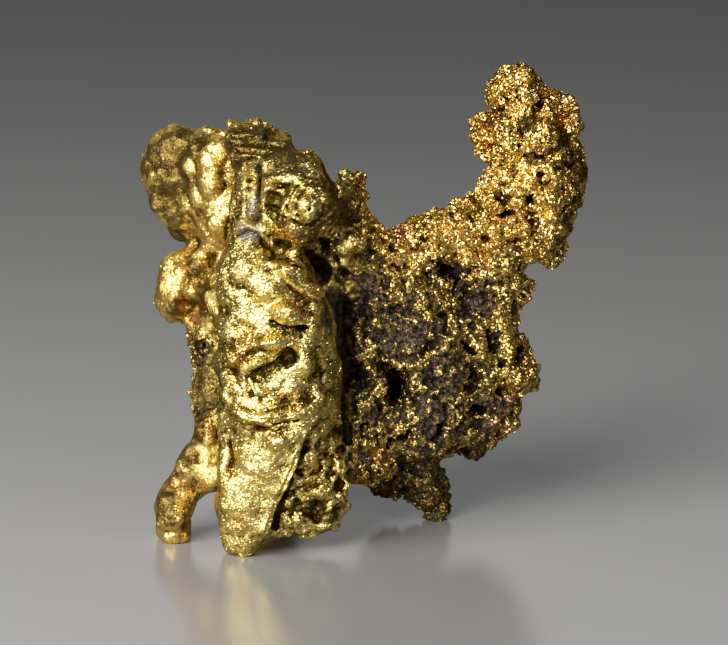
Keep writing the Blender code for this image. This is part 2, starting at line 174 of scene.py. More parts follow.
def on_front(tree, x, z):
    hit = tree.ray_cast(Vector((x, BEFORE_ALL, z)), Vector((0, 1, 0)))[0]
    if hit is None:
        raise ValueError(f"no skin at x {x}, z {z}")
    return hit


def route_points(tree, route):
    found = [on_front(tree, *route[-1])]
    for (x0, z0), (x1, z1) in zip(route, route[1:]):
        steps = max(1, math.ceil(math.hypot(x1 - x0, z1 - z0) / STROKE_STEP))
        for i in range(steps):
            share = i / steps
            found.append(on_front(tree, x0 + (x1 - x0) * share, z0 + (z1 - z0) * share))
    return found


def point_finder(points):
    finder = kdtree.KDTree(len(points))
    for i, point in enumerate(points):
        finder.insert(point, i)
    finder.balance()
    return finder


def stroke_heights(obj, strokes):
    """Heights from a list of (route, reach, height). A height below zero is a groove."""
    tree, points = skin_tree(obj), points_of(obj)
    finder = point_finder(points)
    heights = np.zeros(len(points))
    for route, reach, height in strokes:
        nearest = {}
        for spot in route_points(tree, route):
            for _place, i, distance in finder.find_range(spot, reach):
                nearest[i] = min(distance, nearest.get(i, reach))
        for i, distance in nearest.items():
            heights[i] += height * (1 - (distance / reach) ** 2) ** FALLOFF
    return heights


# %% Noise
NO_SHARE = 0.01
SEED_STEP = 7.3
CREASE_SLOPE = 2.2


def noise_at(points, share, width, seed, stretch=(1, 1, 1)):
    """Smooth noise, about -1 to 1, so many millimetres wide, where there is any share."""
    found, near = np.zeros(len(points)), share > NO_SHARE
    spots = points[near] / (width * np.array(stretch)) + seed * SEED_STEP
    found[near] = [noise.noise(spot) for spot in spots.tolist()]
    return found


def layered_noise(points, share, layers):
    """The sum of several noises, each given as its width, its seed and its height."""
    return sum(noise_at(points, share, width, seed) * height for width, seed, height in layers)


def creases_at(points, share, width, seed, stretch=(1, 1, 1)):
    """0 to 1, with sharp ridges where the noise crosses zero, as crumpled foil has."""
    slopes = CREASE_SLOPE * np.abs(noise_at(points, share, width, seed, stretch))
    return 1 - np.minimum(1, slopes)


# %% Zones of the surface, with borders at x, y and z in millimetres
SMOOTH_BEADS = 0.85
WELL_INSIDE = 0.5


def ramp(values, start, end):
    """0 at the start, 1 at the end, and an S-curve between them."""
    share = np.clip((values - start) / (end - start), 0, 1)
    return share * share * (3 - 2 * share)


def column_share(points):
    """1 on the front column and its bulb."""
    x, y, z = points.T
    front = ramp(y, 0.4, -1.0)
    left = ramp(x, -0.6, -1.4)
    not_leg = 1 - ramp(x, -9.2, -9.8) * ramp(z, 9.5, 8.5)
    return front * left * not_leg


def toe_share(points):
    """1 on the pitted toe, to the right of the fold."""
    x, _y, z = points.T
    fold = -4.0 - (7.4 - z) * 0.37
    return column_share(points) * ramp(x, fold, fold + 0.5) * ramp(z, 8.2, 7.0)


def wander(points):
    """A slow wave of half a millimetre, so that no border between zones is straight."""
    x, y, z = points.T
    return 0.30 * np.sin(1.3 * x + 1.7 * y + 0.6 * z) + 0.25 * np.sin(2.9 * y - 1.7 * x + 2.1 * z)


def lobe_share(points):
    """1 on the knobbly lobe at the back left, its knob and the left leg."""
    x, _y, z = points.T
    x = x + 2 * wander(points)
    left = ramp(x, -7.0, -8.2)
    return left * np.maximum(ramp(z, 12.4, 13.4), ramp(z, 8.4, 7.4)) * (1 - column_share(points))


def arm_share(points):
    """1 on the arm, the neck and the finger, which are all crystals."""
    x, _y, z = points.T
    z = z + 2 * wander(points)
    arm = ramp(x, 6.2, 7.4) * ramp(z, 17.5, 18.8)
    neck = ramp(x, 0.6, 1.6) * ramp(z, 17.2, 18.4)
    finger = ramp(x, -2.0, -1.5) * ramp(z, 20.0, 20.6)
    return np.maximum(np.maximum(arm, neck), finger) * (1 - column_share(points))


def sponge_share(points):
    """1 on the spongy body: all that no other zone has."""
    x, _y, z = points.T
    beads = ramp(x, -2.2, -1.9) * ramp(x, 0.5, 0.2) * ramp(z, 17.9, 18.2) * ramp(z, 21.0, 20.7)
    rest = 1 - column_share(points) - lobe_share(points) - arm_share(points)
    return np.clip(rest - SMOOTH_BEADS * beads, 0, 1)


zone_sizes = {
    share.__name__: round(float(share(points_of(nugget)).mean()), 2)
    for share in (column_share, toe_share, lobe_share, arm_share, sponge_share)
}
print("share of the points in each zone:", zone_sizes)

# %% [markdown]
# ## The folded column
# The column looks like foil that was crumpled while soft: broad dents, sharp creases, and fine
# wrinkles that run mostly level. Noise gives the dents. Creases come from the places where a
# noise crosses zero. The bulb's rolls, the eye and the lip are forms that a hand would carve
# one by one, so they are strokes.

# %% Dents of the column
DENTS = [
    # width, seed and height
    (2.3, 4, 0.34),
    (1.1, 6, 0.13),
]
CREASE = 1.3
CREASE_DEPTH = 0.10


def dent_column():
    points = points_of(nugget)
    share = column_share(points)
    dents = layered_noise(points, share, DENTS)
    dents -= (creases_at(points, share, CREASE, seed=1) - 0.5) * CREASE_DEPTH
    push_out(nugget, dents * share)
    print("dents from", round(dents.min(), 2), "to", round(dents.max(), 2), "mm")


dent_column()

# %% Carved forms of the column
COLUMN_STROKES = [
    # each is a route of (x, z) places, a reach and a height
    # the bulb: a cap, two dark hollows, a double ridge and a button with a slit
    ([(-6.3, 24.5), (-5.5, 24.8), (-4.4, 24.8), (-3.2, 24.4)], 0.30, 0.16),
    ([(-6.2, 24.2), (-5.4, 24.5), (-4.3, 24.5), (-3.2, 24.1)], 0.22, -0.16),
    ([(-5.8, 23.8), (-5.4, 23.5)], 0.42, -0.40),
    ([(-5.9, 22.5), (-5.6, 22.4)], 0.40, -0.38),
    ([(-5.2, 22.5), (-5.0, 23.2), (-4.4, 24.0)], 0.20, 0.24),
    ([(-4.8, 22.5), (-4.6, 23.1), (-4.1, 23.8)], 0.16, 0.20),
    ([(-4.95, 22.6), (-4.8, 23.2), (-4.25, 23.9)], 0.12, -0.14),
    ([(-4.4, 22.3), (-3.6, 21.9), (-2.7, 22.3), (-2.4, 23.2), (-2.7, 24.0)], 0.26, -0.26),
    ([(-4.6, 21.8), (-3.6, 21.4), (-2.3, 21.9), (-1.9, 23.0)], 0.24, 0.16),
    ([(-3.4, 23.2), (-3.5, 23.1)], 0.24, -0.42),
    ([(-3.5, 23.1), (-4.2, 22.6)], 0.16, -0.26),
    ([(-2.6, 22.3)], 0.45, 0.20),
    # the floor of the gutter, raised, then the ridge beside it and the groove beyond
    ([(-6.9, 25.2), (-6.85, 24.2), (-6.95, 22.4)], 0.45, 0.45),
    ([(-7.5, 25.6), (-7.5, 23.2), (-7.6, 22.2)], 0.28, 0.22),
    ([(-8.2, 25.4), (-8.2, 22.6), (-8.6, 20.9)], 0.30, -0.22),
    # the lip that rolls over below the gutter
    ([(-8.2, 21.0), (-7.4, 21.6), (-6.5, 21.3), (-5.9, 20.4), (-5.3, 19.9)], 0.32, 0.26),
    ([(-7.9, 20.6), (-7.2, 21.1), (-6.6, 20.8), (-6.1, 20.0)], 0.26, -0.22),
    ([(-6.4, 19.7), (-5.4, 19.5)], 0.30, -0.24),
    # the folds over the face of the column
    ([(-5.0, 18.8), (-4.1, 17.9), (-2.9, 17.1)], 0.30, 0.30),
    ([(-5.1, 18.4), (-4.3, 17.5), (-3.3, 16.7)], 0.24, -0.34),
    ([(-8.6, 18.0), (-7.4, 17.6), (-6.2, 18.0)], 0.28, -0.14),
    ([(-8.4, 16.7), (-7.2, 16.4), (-6.0, 16.8), (-5.2, 17.3)], 0.26, -0.14),
    ([(-5.7, 16.6), (-4.9, 16.8), (-4.2, 16.5)], 0.42, 0.20),
    ([(-5.8, 15.8), (-4.9, 15.5), (-4.0, 15.4)], 0.26, -0.40),
    ([(-4.0, 15.45), (-3.6, 15.35)], 0.30, -0.45),
    ([(-8.6, 15.2), (-7.6, 15.4), (-6.6, 15.2)], 0.26, -0.16),
    # the eye: a brow, a pocket, and combs that radiate from it
    ([(-8.5, 12.9), (-7.9, 13.8), (-7.1, 14.4), (-6.0, 14.7)], 0.34, 0.26),
    ([(-7.4, 13.5), (-6.3, 13.8)], 0.24, 0.20),
    ([(-7.0, 12.3), (-6.2, 12.8), (-5.4, 13.3), (-4.7, 13.8)], 0.55, -0.25),
    ([(-8.1, 12.3), (-7.8, 11.6)], 0.18, -0.34),
    ([(-7.4, 11.8), (-7.1, 11.1)], 0.18, -0.34),
    ([(-6.7, 11.6), (-6.5, 11.0)], 0.16, -0.28),
    ([(-7.8, 12.2), (-7.4, 11.3)], 0.16, 0.20),
    ([(-7.1, 11.9), (-6.8, 11.2)], 0.16, 0.20),
    ([(-6.2, 11.7), (-5.7, 11.2)], 0.20, 0.16),
    ([(-5.2, 12.0), (-4.3, 12.2), (-3.3, 12.1)], 0.16, -0.20),
    ([(-5.0, 12.7), (-4.0, 13.2), (-3.1, 13.0)], 0.36, 0.16),
    ([(-2.9, 13.4), (-2.6, 12.2), (-2.7, 10.9)], 0.26, -0.18),
    ([(-8.8, 11.0), (-7.8, 10.4), (-6.5, 10.2), (-4.6, 10.5), (-3.1, 11.0)], 0.30, -0.14),
    ([(-8.6, 10.3), (-7.4, 9.8), (-6.2, 9.6), (-4.4, 9.9)], 0.30, 0.18),
    # the step below the eye
    ([(-6.9, 9.5), (-6.0, 9.3), (-5.0, 9.3), (-4.2, 9.5)], 0.20, -0.20),
    ([(-6.6, 9.0), (-5.5, 8.8), (-4.5, 9.0)], 0.30, -0.14),
    ([(-6.0, 8.4), (-5.4, 8.5), (-5.0, 8.1)], 0.24, 0.20),
    ([(-3.2, 9.1), (-2.7, 9.3)], 0.20, -0.26),
    # the lobe of the foot, with its fold
    ([(-8.6, 7.6), (-8.4, 6.6), (-8.6, 5.8)], 0.20, -0.34),
    ([(-4.0, 7.8), (-4.6, 6.2), (-5.4, 4.3), (-6.3, 1.9)], 0.30, 0.16),
    ([(-3.7, 7.7), (-4.3, 6.1), (-5.1, 4.2), (-6.0, 1.8)], 0.34, -0.16),
    ([(-7.4, 5.8), (-6.6, 5.2), (-6.3, 4.4)], 0.20, -0.12),
    # the holes of the toe
    ([(-2.1, 5.9), (-2.0, 5.3)], 0.50, -0.60),
    ([(-4.2, 4.6)], 0.30, -0.55),
    ([(-1.3, 4.5), (-1.2, 4.1)], 0.26, -0.50),
    ([(-3.0, 2.4), (-2.8, 2.6)], 0.30, -0.50),
    ([(-5.7, 1.9)], 0.28, -0.45),
    ([(-3.8, 3.5), (-3.1, 3.4), (-2.5, 3.2)], 0.45, -0.35),
]

CARVE_SHARE = 0.65
push_out(nugget, stroke_heights(nugget, COLUMN_STROKES) * CARVE_SHARE)
print("strokes on the column:", len(COLUMN_STROKES))

# %% [markdown]
# ## Sheets of the crown
# On top of the column the metal grew in thin flat sheets, like the edge of a torn book. A brush
# can't carve such sharp, overhanging edges, so each sheet is a primitive: a cube made flat,
# with its corners cut, turned a little. The sheets are joined to the skin, and the next remesh
# makes one body of them.

# %% Stack the sheets
SHEETS = [
    # left and right end, front edge, height, thickness, and turn about Y in degrees
    (-8.6, -6.3, -3.85, 27.02, 0.20, 2),
    (-8.7, -4.75, -4.15, 26.62, 0.22, 4),
    (-8.3, -4.65, -4.75, 26.24, 0.22, 3),
    (-8.5, -4.80, -5.05, 25.90, 0.20, 5),
    (-8.4, -6.3, -5.10, 25.56, 0.20, 8),
]
SHEET_BACK = 0.4
SHEET_CORNER = 0.06
SHEET_VOXEL = 0.09
SHEET_RAGGED = (0.30, 0.35, 0.08)
RAG_WIDTH = 0.9


def add_sheet(left, right, front, height, thickness, turn, seed):
    bpy.ops.object.select_all(action="DESELECT")
    bpy.ops.mesh.primitive_cube_add(size=1, location=(0, 0, 0))
    sheet = bpy.context.object
    sheet.scale = [side * MM for side in (right - left, SHEET_BACK - front, thickness)]
    sheet.rotation_euler = (0, math.radians(turn), 0)
    middle = ((left + right) / 2, (front + SHEET_BACK) / 2, height)
    sheet.location = [value * MM for value in middle]
    bpy.ops.object.transform_apply(location=True, rotation=True, scale=True)
    with whole_mesh_selected(sheet):
        bpy.ops.mesh.bevel(offset=SHEET_CORNER * MM, segments=1, affect="EDGES")
    remesh(sheet, SHEET_VOXEL)
    points = points_of(sheet)
    everywhere = np.ones(len(points))
    for axis in range(3):
        shift = noise_at(points, everywhere, RAG_WIDTH, seed + axis)
        points[:, axis] += shift * SHEET_RAGGED[axis]
    place_points(sheet, points)
    return sheet


sheets = [add_sheet(*given, seed=60 + 3 * i) for i, given in enumerate(SHEETS)]
bpy.ops.object.select_all(action="DESELECT")
for sheet in [*sheets, nugget]:
    sheet.select_set(True)
bpy.context.view_layer.objects.active = nugget
bpy.ops.object.join()
remesh(nugget, SKIN_VOXEL)
print("points with the sheets:", len(nugget.data.vertices))

# %% [markdown]
# ## Knobs, sponge and crystals
# The other surfaces are built of round grains that grew against each other, so each grain is a
# dome and each joint a crease. A displacement texture could give such cells, but all of one
# size. Here each dome has its own place and size, taken from a seeded random draw, and where
# two domes overlap the higher one wins. The finest grains are crystals with flat faces, so they
# are small tables, each tilted its own way. Hollows come from a noise, so that no two are
# alike, and the deepest pockets are strokes.

# %% Domes
SETTLE_SHARE = 0.9


def pick_spots(rng, share, count):
    """Indices of points, drawn at random where the share is high."""
    return rng.choice(len(share), count, replace=False, p=share / share.sum())


def pick_sizes(rng, smallest, largest, count, few_large=1.8):
    """Random sizes. The higher the power, the fewer of them are large."""
    return smallest + (largest - smallest) * rng.random(count) ** few_large


def dome_heights(points, spots, radii, rise, lifts):
    """The highest dome at each point. Each has its own radius and lift in millimetres."""
    finder = point_finder(points)
    heights = np.full(len(points), lifts.min())
    for spot, radius, lift in zip(spots, radii, lifts):
        for _place, i, distance in finder.find_range(points[spot], radius):
            height = lift + rise * radius * math.sqrt(max(0.0, 1 - (distance / radius) ** 2))
            heights[i] = max(heights[i], height)
    return heights


def grow_domes(obj, share_of, seed, count, radii, rise, scatter=0.0):
    """A layer of domes. Nine tenths of their mean height is taken off, so the skin stays."""
    rng = np.random.default_rng(seed)
    points = points_of(obj)
    share = share_of(points)
    spots = pick_spots(rng, share, count)
    lifts = rng.uniform(-scatter, scatter, count)
    sizes = pick_sizes(rng, *radii, count)
    heights = dome_heights(points, spots, sizes, rise, lifts)
    settled = heights - heights[share > WELL_INSIDE].mean() * SETTLE_SHARE
    push_out(obj, settled * share)


# %% Tilted facets
FACET_REACH = 1.3
FACET_STEEP = 2.5


def random_turns(rng, count):
    """So many random rotation matrices."""
    w, x, y, z = rng.normal(size=(4, count))
    length = np.sqrt(w * w + x * x + y * y + z * z)
    w, x, y, z = w / length, x / length, y / length, z / length
    rows = [
        [1 - 2 * (y * y + z * z), 2 * (x * y - z * w), 2 * (x * z + y * w)],
        [2 * (x * y + z * w), 1 - 2 * (x * x + z * z), 2 * (y * z - x * w)],
        [2 * (x * z - y * w), 2 * (y * z + x * w), 1 - 2 * (x * x + y * y)],
    ]
    return np.moveaxis(np.array(rows), 2, 0)


def grow_facets(obj, share_of, seed, count, radii, rise, tilt, scatter):
    """A layer of grains, each a small table with steep sides, tilted its own way."""
    rng = np.random.default_rng(seed)
    points = points_of(obj)
    share = share_of(points)
    spots = pick_spots(rng, share, count)
    sizes = pick_sizes(rng, *radii, count)
    lifts = rng.uniform(-scatter, scatter, count)
    slopes = rng.uniform(-tilt, tilt, count)
    finder = point_finder(points)
    heights = np.full(len(points), lifts.min())
    for spot, size, lift, slope, turn in zip(spots, sizes, lifts, slopes, random_turns(rng, count)):
        near = [i for _place, i, _distance in finder.find_range(points[spot], size * FACET_REACH)]
        local = (points[near] - points[spot]) @ turn
        side = 1 - np.abs(local).max(1) / size
        table = lift + rise * size * np.minimum(side * FACET_STEEP, 1) + slope * local[:, 0]
        heights[near] = np.where(side > 0, np.maximum(heights[near], table), heights[near])
    settled = heights - heights[share > WELL_INSIDE].mean()
    push_out(obj, settled * share)


# %% Hollows of no regular shape


def sink_hollows(obj, share_of, width, seed, depth, start=0.10, end=0.42):
    """Sinks the skin wherever a noise is high, so no two hollows are alike."""
    points = points_of(obj)
    share = share_of(points)
    push_out(obj, -depth * ramp(noise_at(points, share, width, seed), start, end) * share)


def roll_skin(obj, share_of, width, seed, height):
    """Lifts and lowers the skin in broad, soft swells."""
    points = points_of(obj)
    share = share_of(points)
    push_out(obj, noise_at(points, share, width, seed) * height * share)


# %% Coarse grains: knobs on the lobe, crumbs on the sponge, clumps on the arm
# After the zone, domes have a seed, a count, their radii, their rise and their scatter. Hollows
# have a width, a seed, a depth, and the noise at which they start and end. Swells have a
# width, a seed and a height.
grow_domes(nugget, lobe_share, 11, 120, (0.7, 1.5), 0.30)
sink_hollows(nugget, lobe_share, 1.7, 13, 0.12)
roll_skin(nugget, sponge_share, 2.4, 28, 0.42)
grow_domes(nugget, sponge_share, 21, 900, (0.35, 0.75), 0.36, 0.12)
sink_hollows(nugget, sponge_share, 1.3, 25, 0.80, 0.22, 0.46)
roll_skin(nugget, arm_share, 1.8, 36, 0.32)
grow_domes(nugget, arm_share, 31, 230, (0.50, 1.10), 0.40, 0.14)
sink_hollows(nugget, arm_share, 1.0, 35, 0.35, 0.32, 0.52)
grow_domes(nugget, toe_share, 51, 70, (0.35, 0.70), 0.35, 0.12)
sink_hollows(nugget, toe_share, 1.1, 52, 0.28, 0.20, 0.45)
print("size with the coarse grains:", np.ptp(points_of(nugget), axis=0).round(1), "mm")

# %% Pockets and cracks that go deep
DEEP_STROKES = [
    ([(5.0, 17.2), (5.6, 17.0)], 0.7, -0.7),
    ([(2.0, 10.6), (2.0, 9.0)], 0.7, -0.7),
    ([(5.5, 13.0), (6.4, 12.6), (7.1, 12.0)], 0.28, -0.5),
    ([(7.1, 10.9), (7.0, 9.4)], 0.35, -0.6),
    ([(2.7, 6.6)], 0.5, -0.6),
    ([(1.6, 7.3)], 0.4, -0.5),
    ([(8.7, 21.0), (9.2, 20.8)], 0.40, -0.6),
    ([(8.6, 22.1), (10.0, 22.2), (11.3, 22.4)], 0.22, -0.3),
    ([(11.4, 23.7), (11.8, 23.1)], 0.30, -0.6),
    ([(10.9, 25.0), (11.5, 24.8)], 0.25, -0.5),
    ([(11.2, 28.3), (11.4, 27.8)], 0.35, -0.6),
    ([(8.9, 28.4), (9.2, 28.3)], 0.25, -0.4),
    ([(12.4, 24.2), (12.9, 24.1)], 0.25, -0.4),
    ([(10.7, 19.7)], 0.22, -0.4),
    # the crevice beside the column, and the beads and hook at its top
    ([(-1.0, 15.3), (-1.2, 12.0), (-1.2, 9.0), (-1.1, 6.5)], 0.32, -0.45),
    ([(-0.8, 19.9)], 0.60, 0.48),
    ([(-0.1, 20.4)], 0.42, 0.32),
    ([(-0.4, 19.2)], 0.42, 0.34),
    ([(-1.3, 18.5)], 0.48, 0.40),
    ([(-1.9, 19.0), (-1.8, 18.3)], 0.24, -0.40),
    ([(-1.9, 17.8), (-1.6, 17.2), (-1.1, 16.9), (-0.6, 17.0)], 0.26, 0.30),
    ([(-1.2, 17.6)], 0.26, -0.40),
    # the knob on the left of the arm
    ([(8.3, 22.8)], 0.95, 0.55),
]

push_out(nugget, stroke_heights(nugget, DEEP_STROKES))
print("pockets, cracks and beads:", len(DEEP_STROKES))

# %% A finer skin for the fine grains
FINE_VOXEL = 0.080


def keep_largest_body(obj):
    """Drops the small bubbles that a remesh can shut off inside."""
    bm = bmesh.new()
    bm.from_mesh(obj.data)
    unseen, largest = set(bm.verts), []
    while unseen:
        body, front = [], [unseen.pop()]
        while front:
            vertex = front.pop()
            body.append(vertex)
            for edge in vertex.link_edges:
                other = edge.other_vert(vertex)
                if other in unseen:
                    unseen.remove(other)
                    front.append(other)
        largest = max(largest, body, key=len)
    kept = set(largest)
    bubbles = [vertex for vertex in bm.verts if vertex not in kept]
    bmesh.ops.delete(bm, geom=bubbles, context="VERTS")
    bm.to_mesh(obj.data)
    bm.free()


remesh(nugget, FINE_VOXEL)
keep_largest_body(nugget)
print("points on the fine skin:", len(nugget.data.vertices))

# %% Fine wrinkles of the column
RIPPLE_TURN = 28
RIPPLE, CRINKLE = 0.5, 0.8
RIPPLE_HEIGHT, CRINKLE_DEPTH = 0.042, 0.05


def wrinkle_column():
    points = points_of(nugget)
    share = column_share(points)
    turned = points @ np.array(Matrix.Rotation(math.radians(RIPPLE_TURN), 3, "Y")).T
    ripples = noise_at(turned, share, RIPPLE, 9, (2.4, 1.6, 0.8))
    wrinkles = creases_at(points, share, CRINKLE, 2, (1.2, 1.2, 0.75)) - 0.5
    relief = (ripples * RIPPLE_HEIGHT - wrinkles * CRINKLE_DEPTH) * share
    push_out(nugget, relief)
    print("wrinkles from", round(relief.min(), 2), "to", round(relief.max(), 2), "mm")


wrinkle_column()

# %% Sharp lines of the column


def arc(x, z, wide, tall, start, end, steps=14):
    """Points of an arc of an ellipse, from one angle to another in degrees."""
    angles = [math.radians(start + (end - start) * i / steps) for i in range(steps + 1)]
    return [(x + wide * math.cos(a), z + tall * math.sin(a)) for a in angles]


FINE_STROKES = [
    # the button of the bulb, with its slit, and the arcs of the roll round it
    ([(-3.65, 23.5), (-3.5, 23.0)], 0.80, 0.26),
    (arc(-3.55, 23.25, 0.70, 1.00, 100, 350, 20), 0.14, -0.18),
    ([(-3.42, 23.3), (-3.36, 23.14), (-3.52, 23.18)], 0.15, -0.40),
    ([(-3.5, 23.22), (-3.9, 22.98), (-4.2, 22.7)], 0.11, -0.20),
    ([(-3.38, 23.3), (-3.25, 23.75)], 0.10, -0.15),
    (arc(-3.6, 23.2, 0.98, 1.25, 70, 190), 0.14, 0.16),
    (arc(-3.6, 23.2, 1.20, 1.42, 80, 195), 0.12, -0.16),
    (arc(-3.6, 23.2, 1.42, 1.60, 60, 150), 0.12, 0.10),
    (arc(-3.6, 23.2, 1.70, 1.80, 50, 130), 0.12, -0.10),
    (arc(-3.6, 23.2, 1.05, 1.34, 225, 320), 0.13, -0.14),
    ([(-6.0, 24.25), (-5.4, 24.1), (-4.9, 24.2)], 0.13, -0.18),
    ([(-6.1, 22.95), (-5.6, 22.75), (-5.0, 22.4)], 0.26, -0.30),
    ([(-2.55, 22.35)], 0.32, 0.24),
    ([(-2.15, 22.0)], 0.24, 0.20),
    # the lip, the folds and the pillow
    ([(-8.2, 21.2), (-7.3, 21.6), (-6.4, 21.3), (-5.9, 20.4), (-5.4, 19.8)], 0.14, 0.12),
    ([(-8.0, 20.8), (-7.2, 21.2), (-6.6, 20.95), (-6.1, 20.1), (-5.6, 19.6)], 0.13, -0.18),
    ([(-4.9, 18.8), (-4.0, 17.9), (-2.8, 17.1)], 0.15, 0.16),
    ([(-5.0, 18.45), (-4.1, 17.55), (-2.9, 16.8)], 0.13, -0.22),
    ([(-5.8, 15.9), (-4.9, 15.6), (-4.0, 15.45), (-3.6, 15.4)], 0.14, -0.26),
    ([(-8.6, 16.9), (-7.4, 16.7), (-6.2, 17.1)], 0.12, -0.14),
    # combs beside the eye, its rim and the step below it
    ([(-8.0, 12.4), (-7.6, 11.5)], 0.12, 0.14),
    ([(-7.6, 12.2), (-7.2, 11.3)], 0.12, 0.14),
    ([(-7.2, 12.0), (-6.8, 11.2)], 0.12, 0.14),
    ([(-6.8, 11.8), (-6.4, 11.1)], 0.12, 0.12),
    ([(-6.5, 12.9), (-5.6, 13.6), (-4.8, 14.0)], 0.13, 0.14),
    ([(-9.0, 10.5), (-7.5, 9.9), (-6.0, 9.7), (-4.4, 10.0), (-3.1, 10.9)], 0.13, -0.18),
    ([(-6.7, 9.5), (-5.5, 9.3), (-4.2, 9.5)], 0.13, -0.22),
    # the fold of the foot, and a short line to its left
    ([(-4.1, 7.4), (-4.7, 6.0), (-5.5, 4.1), (-6.3, 1.8)], 0.15, -0.30),
    ([(-8.5, 7.3), (-8.4, 6.6), (-8.55, 6.1)], 0.12, -0.12),
]

push_out(nugget, stroke_heights(nugget, FINE_STROKES))
print("sharp lines:", len(FINE_STROKES))

# %% Fine grains of each zone
# After the zone come a seed, a count, the radii, the rise, the tilt and the scatter.
grow_facets(nugget, column_share, 41, 4200, (0.15, 0.42), 0.05, 0.12, 0.01)
grow_facets(nugget, lobe_share, 12, 1300, (0.20, 0.60), 0.06, 0.10, 0.02)
grow_facets(nugget, sponge_share, 23, 12000, (0.12, 0.32), 0.50, 0.50, 0.08)
grow_facets(nugget, toe_share, 29, 1300, (0.12, 0.34), 0.30, 0.42, 0.05)
grow_facets(nugget, arm_share, 33, 2800, (0.16, 0.70), 0.35, 0.42, 0.06)
remesh(nugget, FINE_VOXEL)
keep_largest_body(nugget)
print("points after the grains:", len(nugget.data.vertices))

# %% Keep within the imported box, with flat soles
BOX_GAP = 0.002
SOLE = 0.05

low, high = (np.array(corner) / MM for corner in cad_box)
settled = np.clip(points_of(nugget), low + BOX_GAP, high - BOX_GAP)
settled[:, 2] = np.where(settled[:, 2] < SOLE, 0.0, settled[:, 2])
place_points(nugget, settled)
print("points on the ground:", int((settled[:, 2] == 0).sum()))

# %% [markdown]
# ## Masks that the finish needs
# On real metal the high grains are rubbed bright and the hollows tarnish dark. Here the colour
# also holds painted light: paler places as painted highlight, and painted shade in the dents,
# pockets and on some sides turned from the light. The finish needs to know which is which. One
# mask compares each point with a smoothed copy of the skin, so a pit lies below it and a grain
# above. A second mask sends rays outwards and counts those that meet the nugget again, so a deep
# pocket counts as shaded and is painted dark. Both are stored on the mesh as attributes, which a
# material can read. The zones are masks too, and so are the stains, which are spots at known
# places. The brown and green spots are partly stains and partly painted shade. Their outlines
# are ragged by a noise, because a round stain looks painted on. The last list is of high places
# that are rubbed bright, and of places painted paler as a highlight.

# %% How far each point lies below the smoothed skin


def smoothed(obj, steps):
    """The points after each has moved to the middle of its neighbours so many times."""
    first, second = read_rows(obj.data.edges, "vertices", 2, np.int32).T
    ends, others = np.concatenate([first, second]), np.concatenate([second, first])
    points = points_of(obj)
    count = np.bincount(ends, minlength=len(points))[:, None]
    for _ in range(steps):
        sums = [np.bincount(ends, points[others, k], len(points)) for k in range(3)]
        points = 0.5 * points + 0.5 * np.stack(sums, 1) / count
    return points


def depth_below(obj, steps):
    return ((smoothed(obj, steps) - points_of(obj)) * normals_of(obj)).sum(1)


# %% How much of the sky the nugget hides from each point
SKY_RAYS = 14
SKY_REACH = 4.0
SKY_STEP = 4
SKY_START = 0.05
SKY_SEED = 41


def hidden_sky(obj):
    """Looks out from every fourth point only, and the others take the nearest one's share."""
    tree, points, normals = skin_tree(obj), points_of(obj), normals_of(obj)
    chosen = np.arange(0, len(points), SKY_STEP)
    starts = (points[chosen] + normals[chosen] * SKY_START).tolist()
    rng = np.random.default_rng(SKY_SEED)
    hidden, total = np.zeros(len(chosen)), np.zeros(len(chosen))
    for ray in rng.normal(size=(SKY_RAYS, 3)):
        ray /= np.linalg.norm(ray)
        facing = normals[chosen] @ ray
        aims = (ray * np.sign(facing)[:, None]).tolist()
        hits = [tree.ray_cast(start, aim, SKY_REACH)[0] for start, aim in zip(starts, aims)]
        hidden += np.abs(facing) * np.array([hit is not None for hit in hits])
        total += np.abs(facing)
    finder = point_finder(points[chosen].tolist())
    nearest = [finder.find(point)[1] for point in points.tolist()]
    return (hidden / total)[nearest]
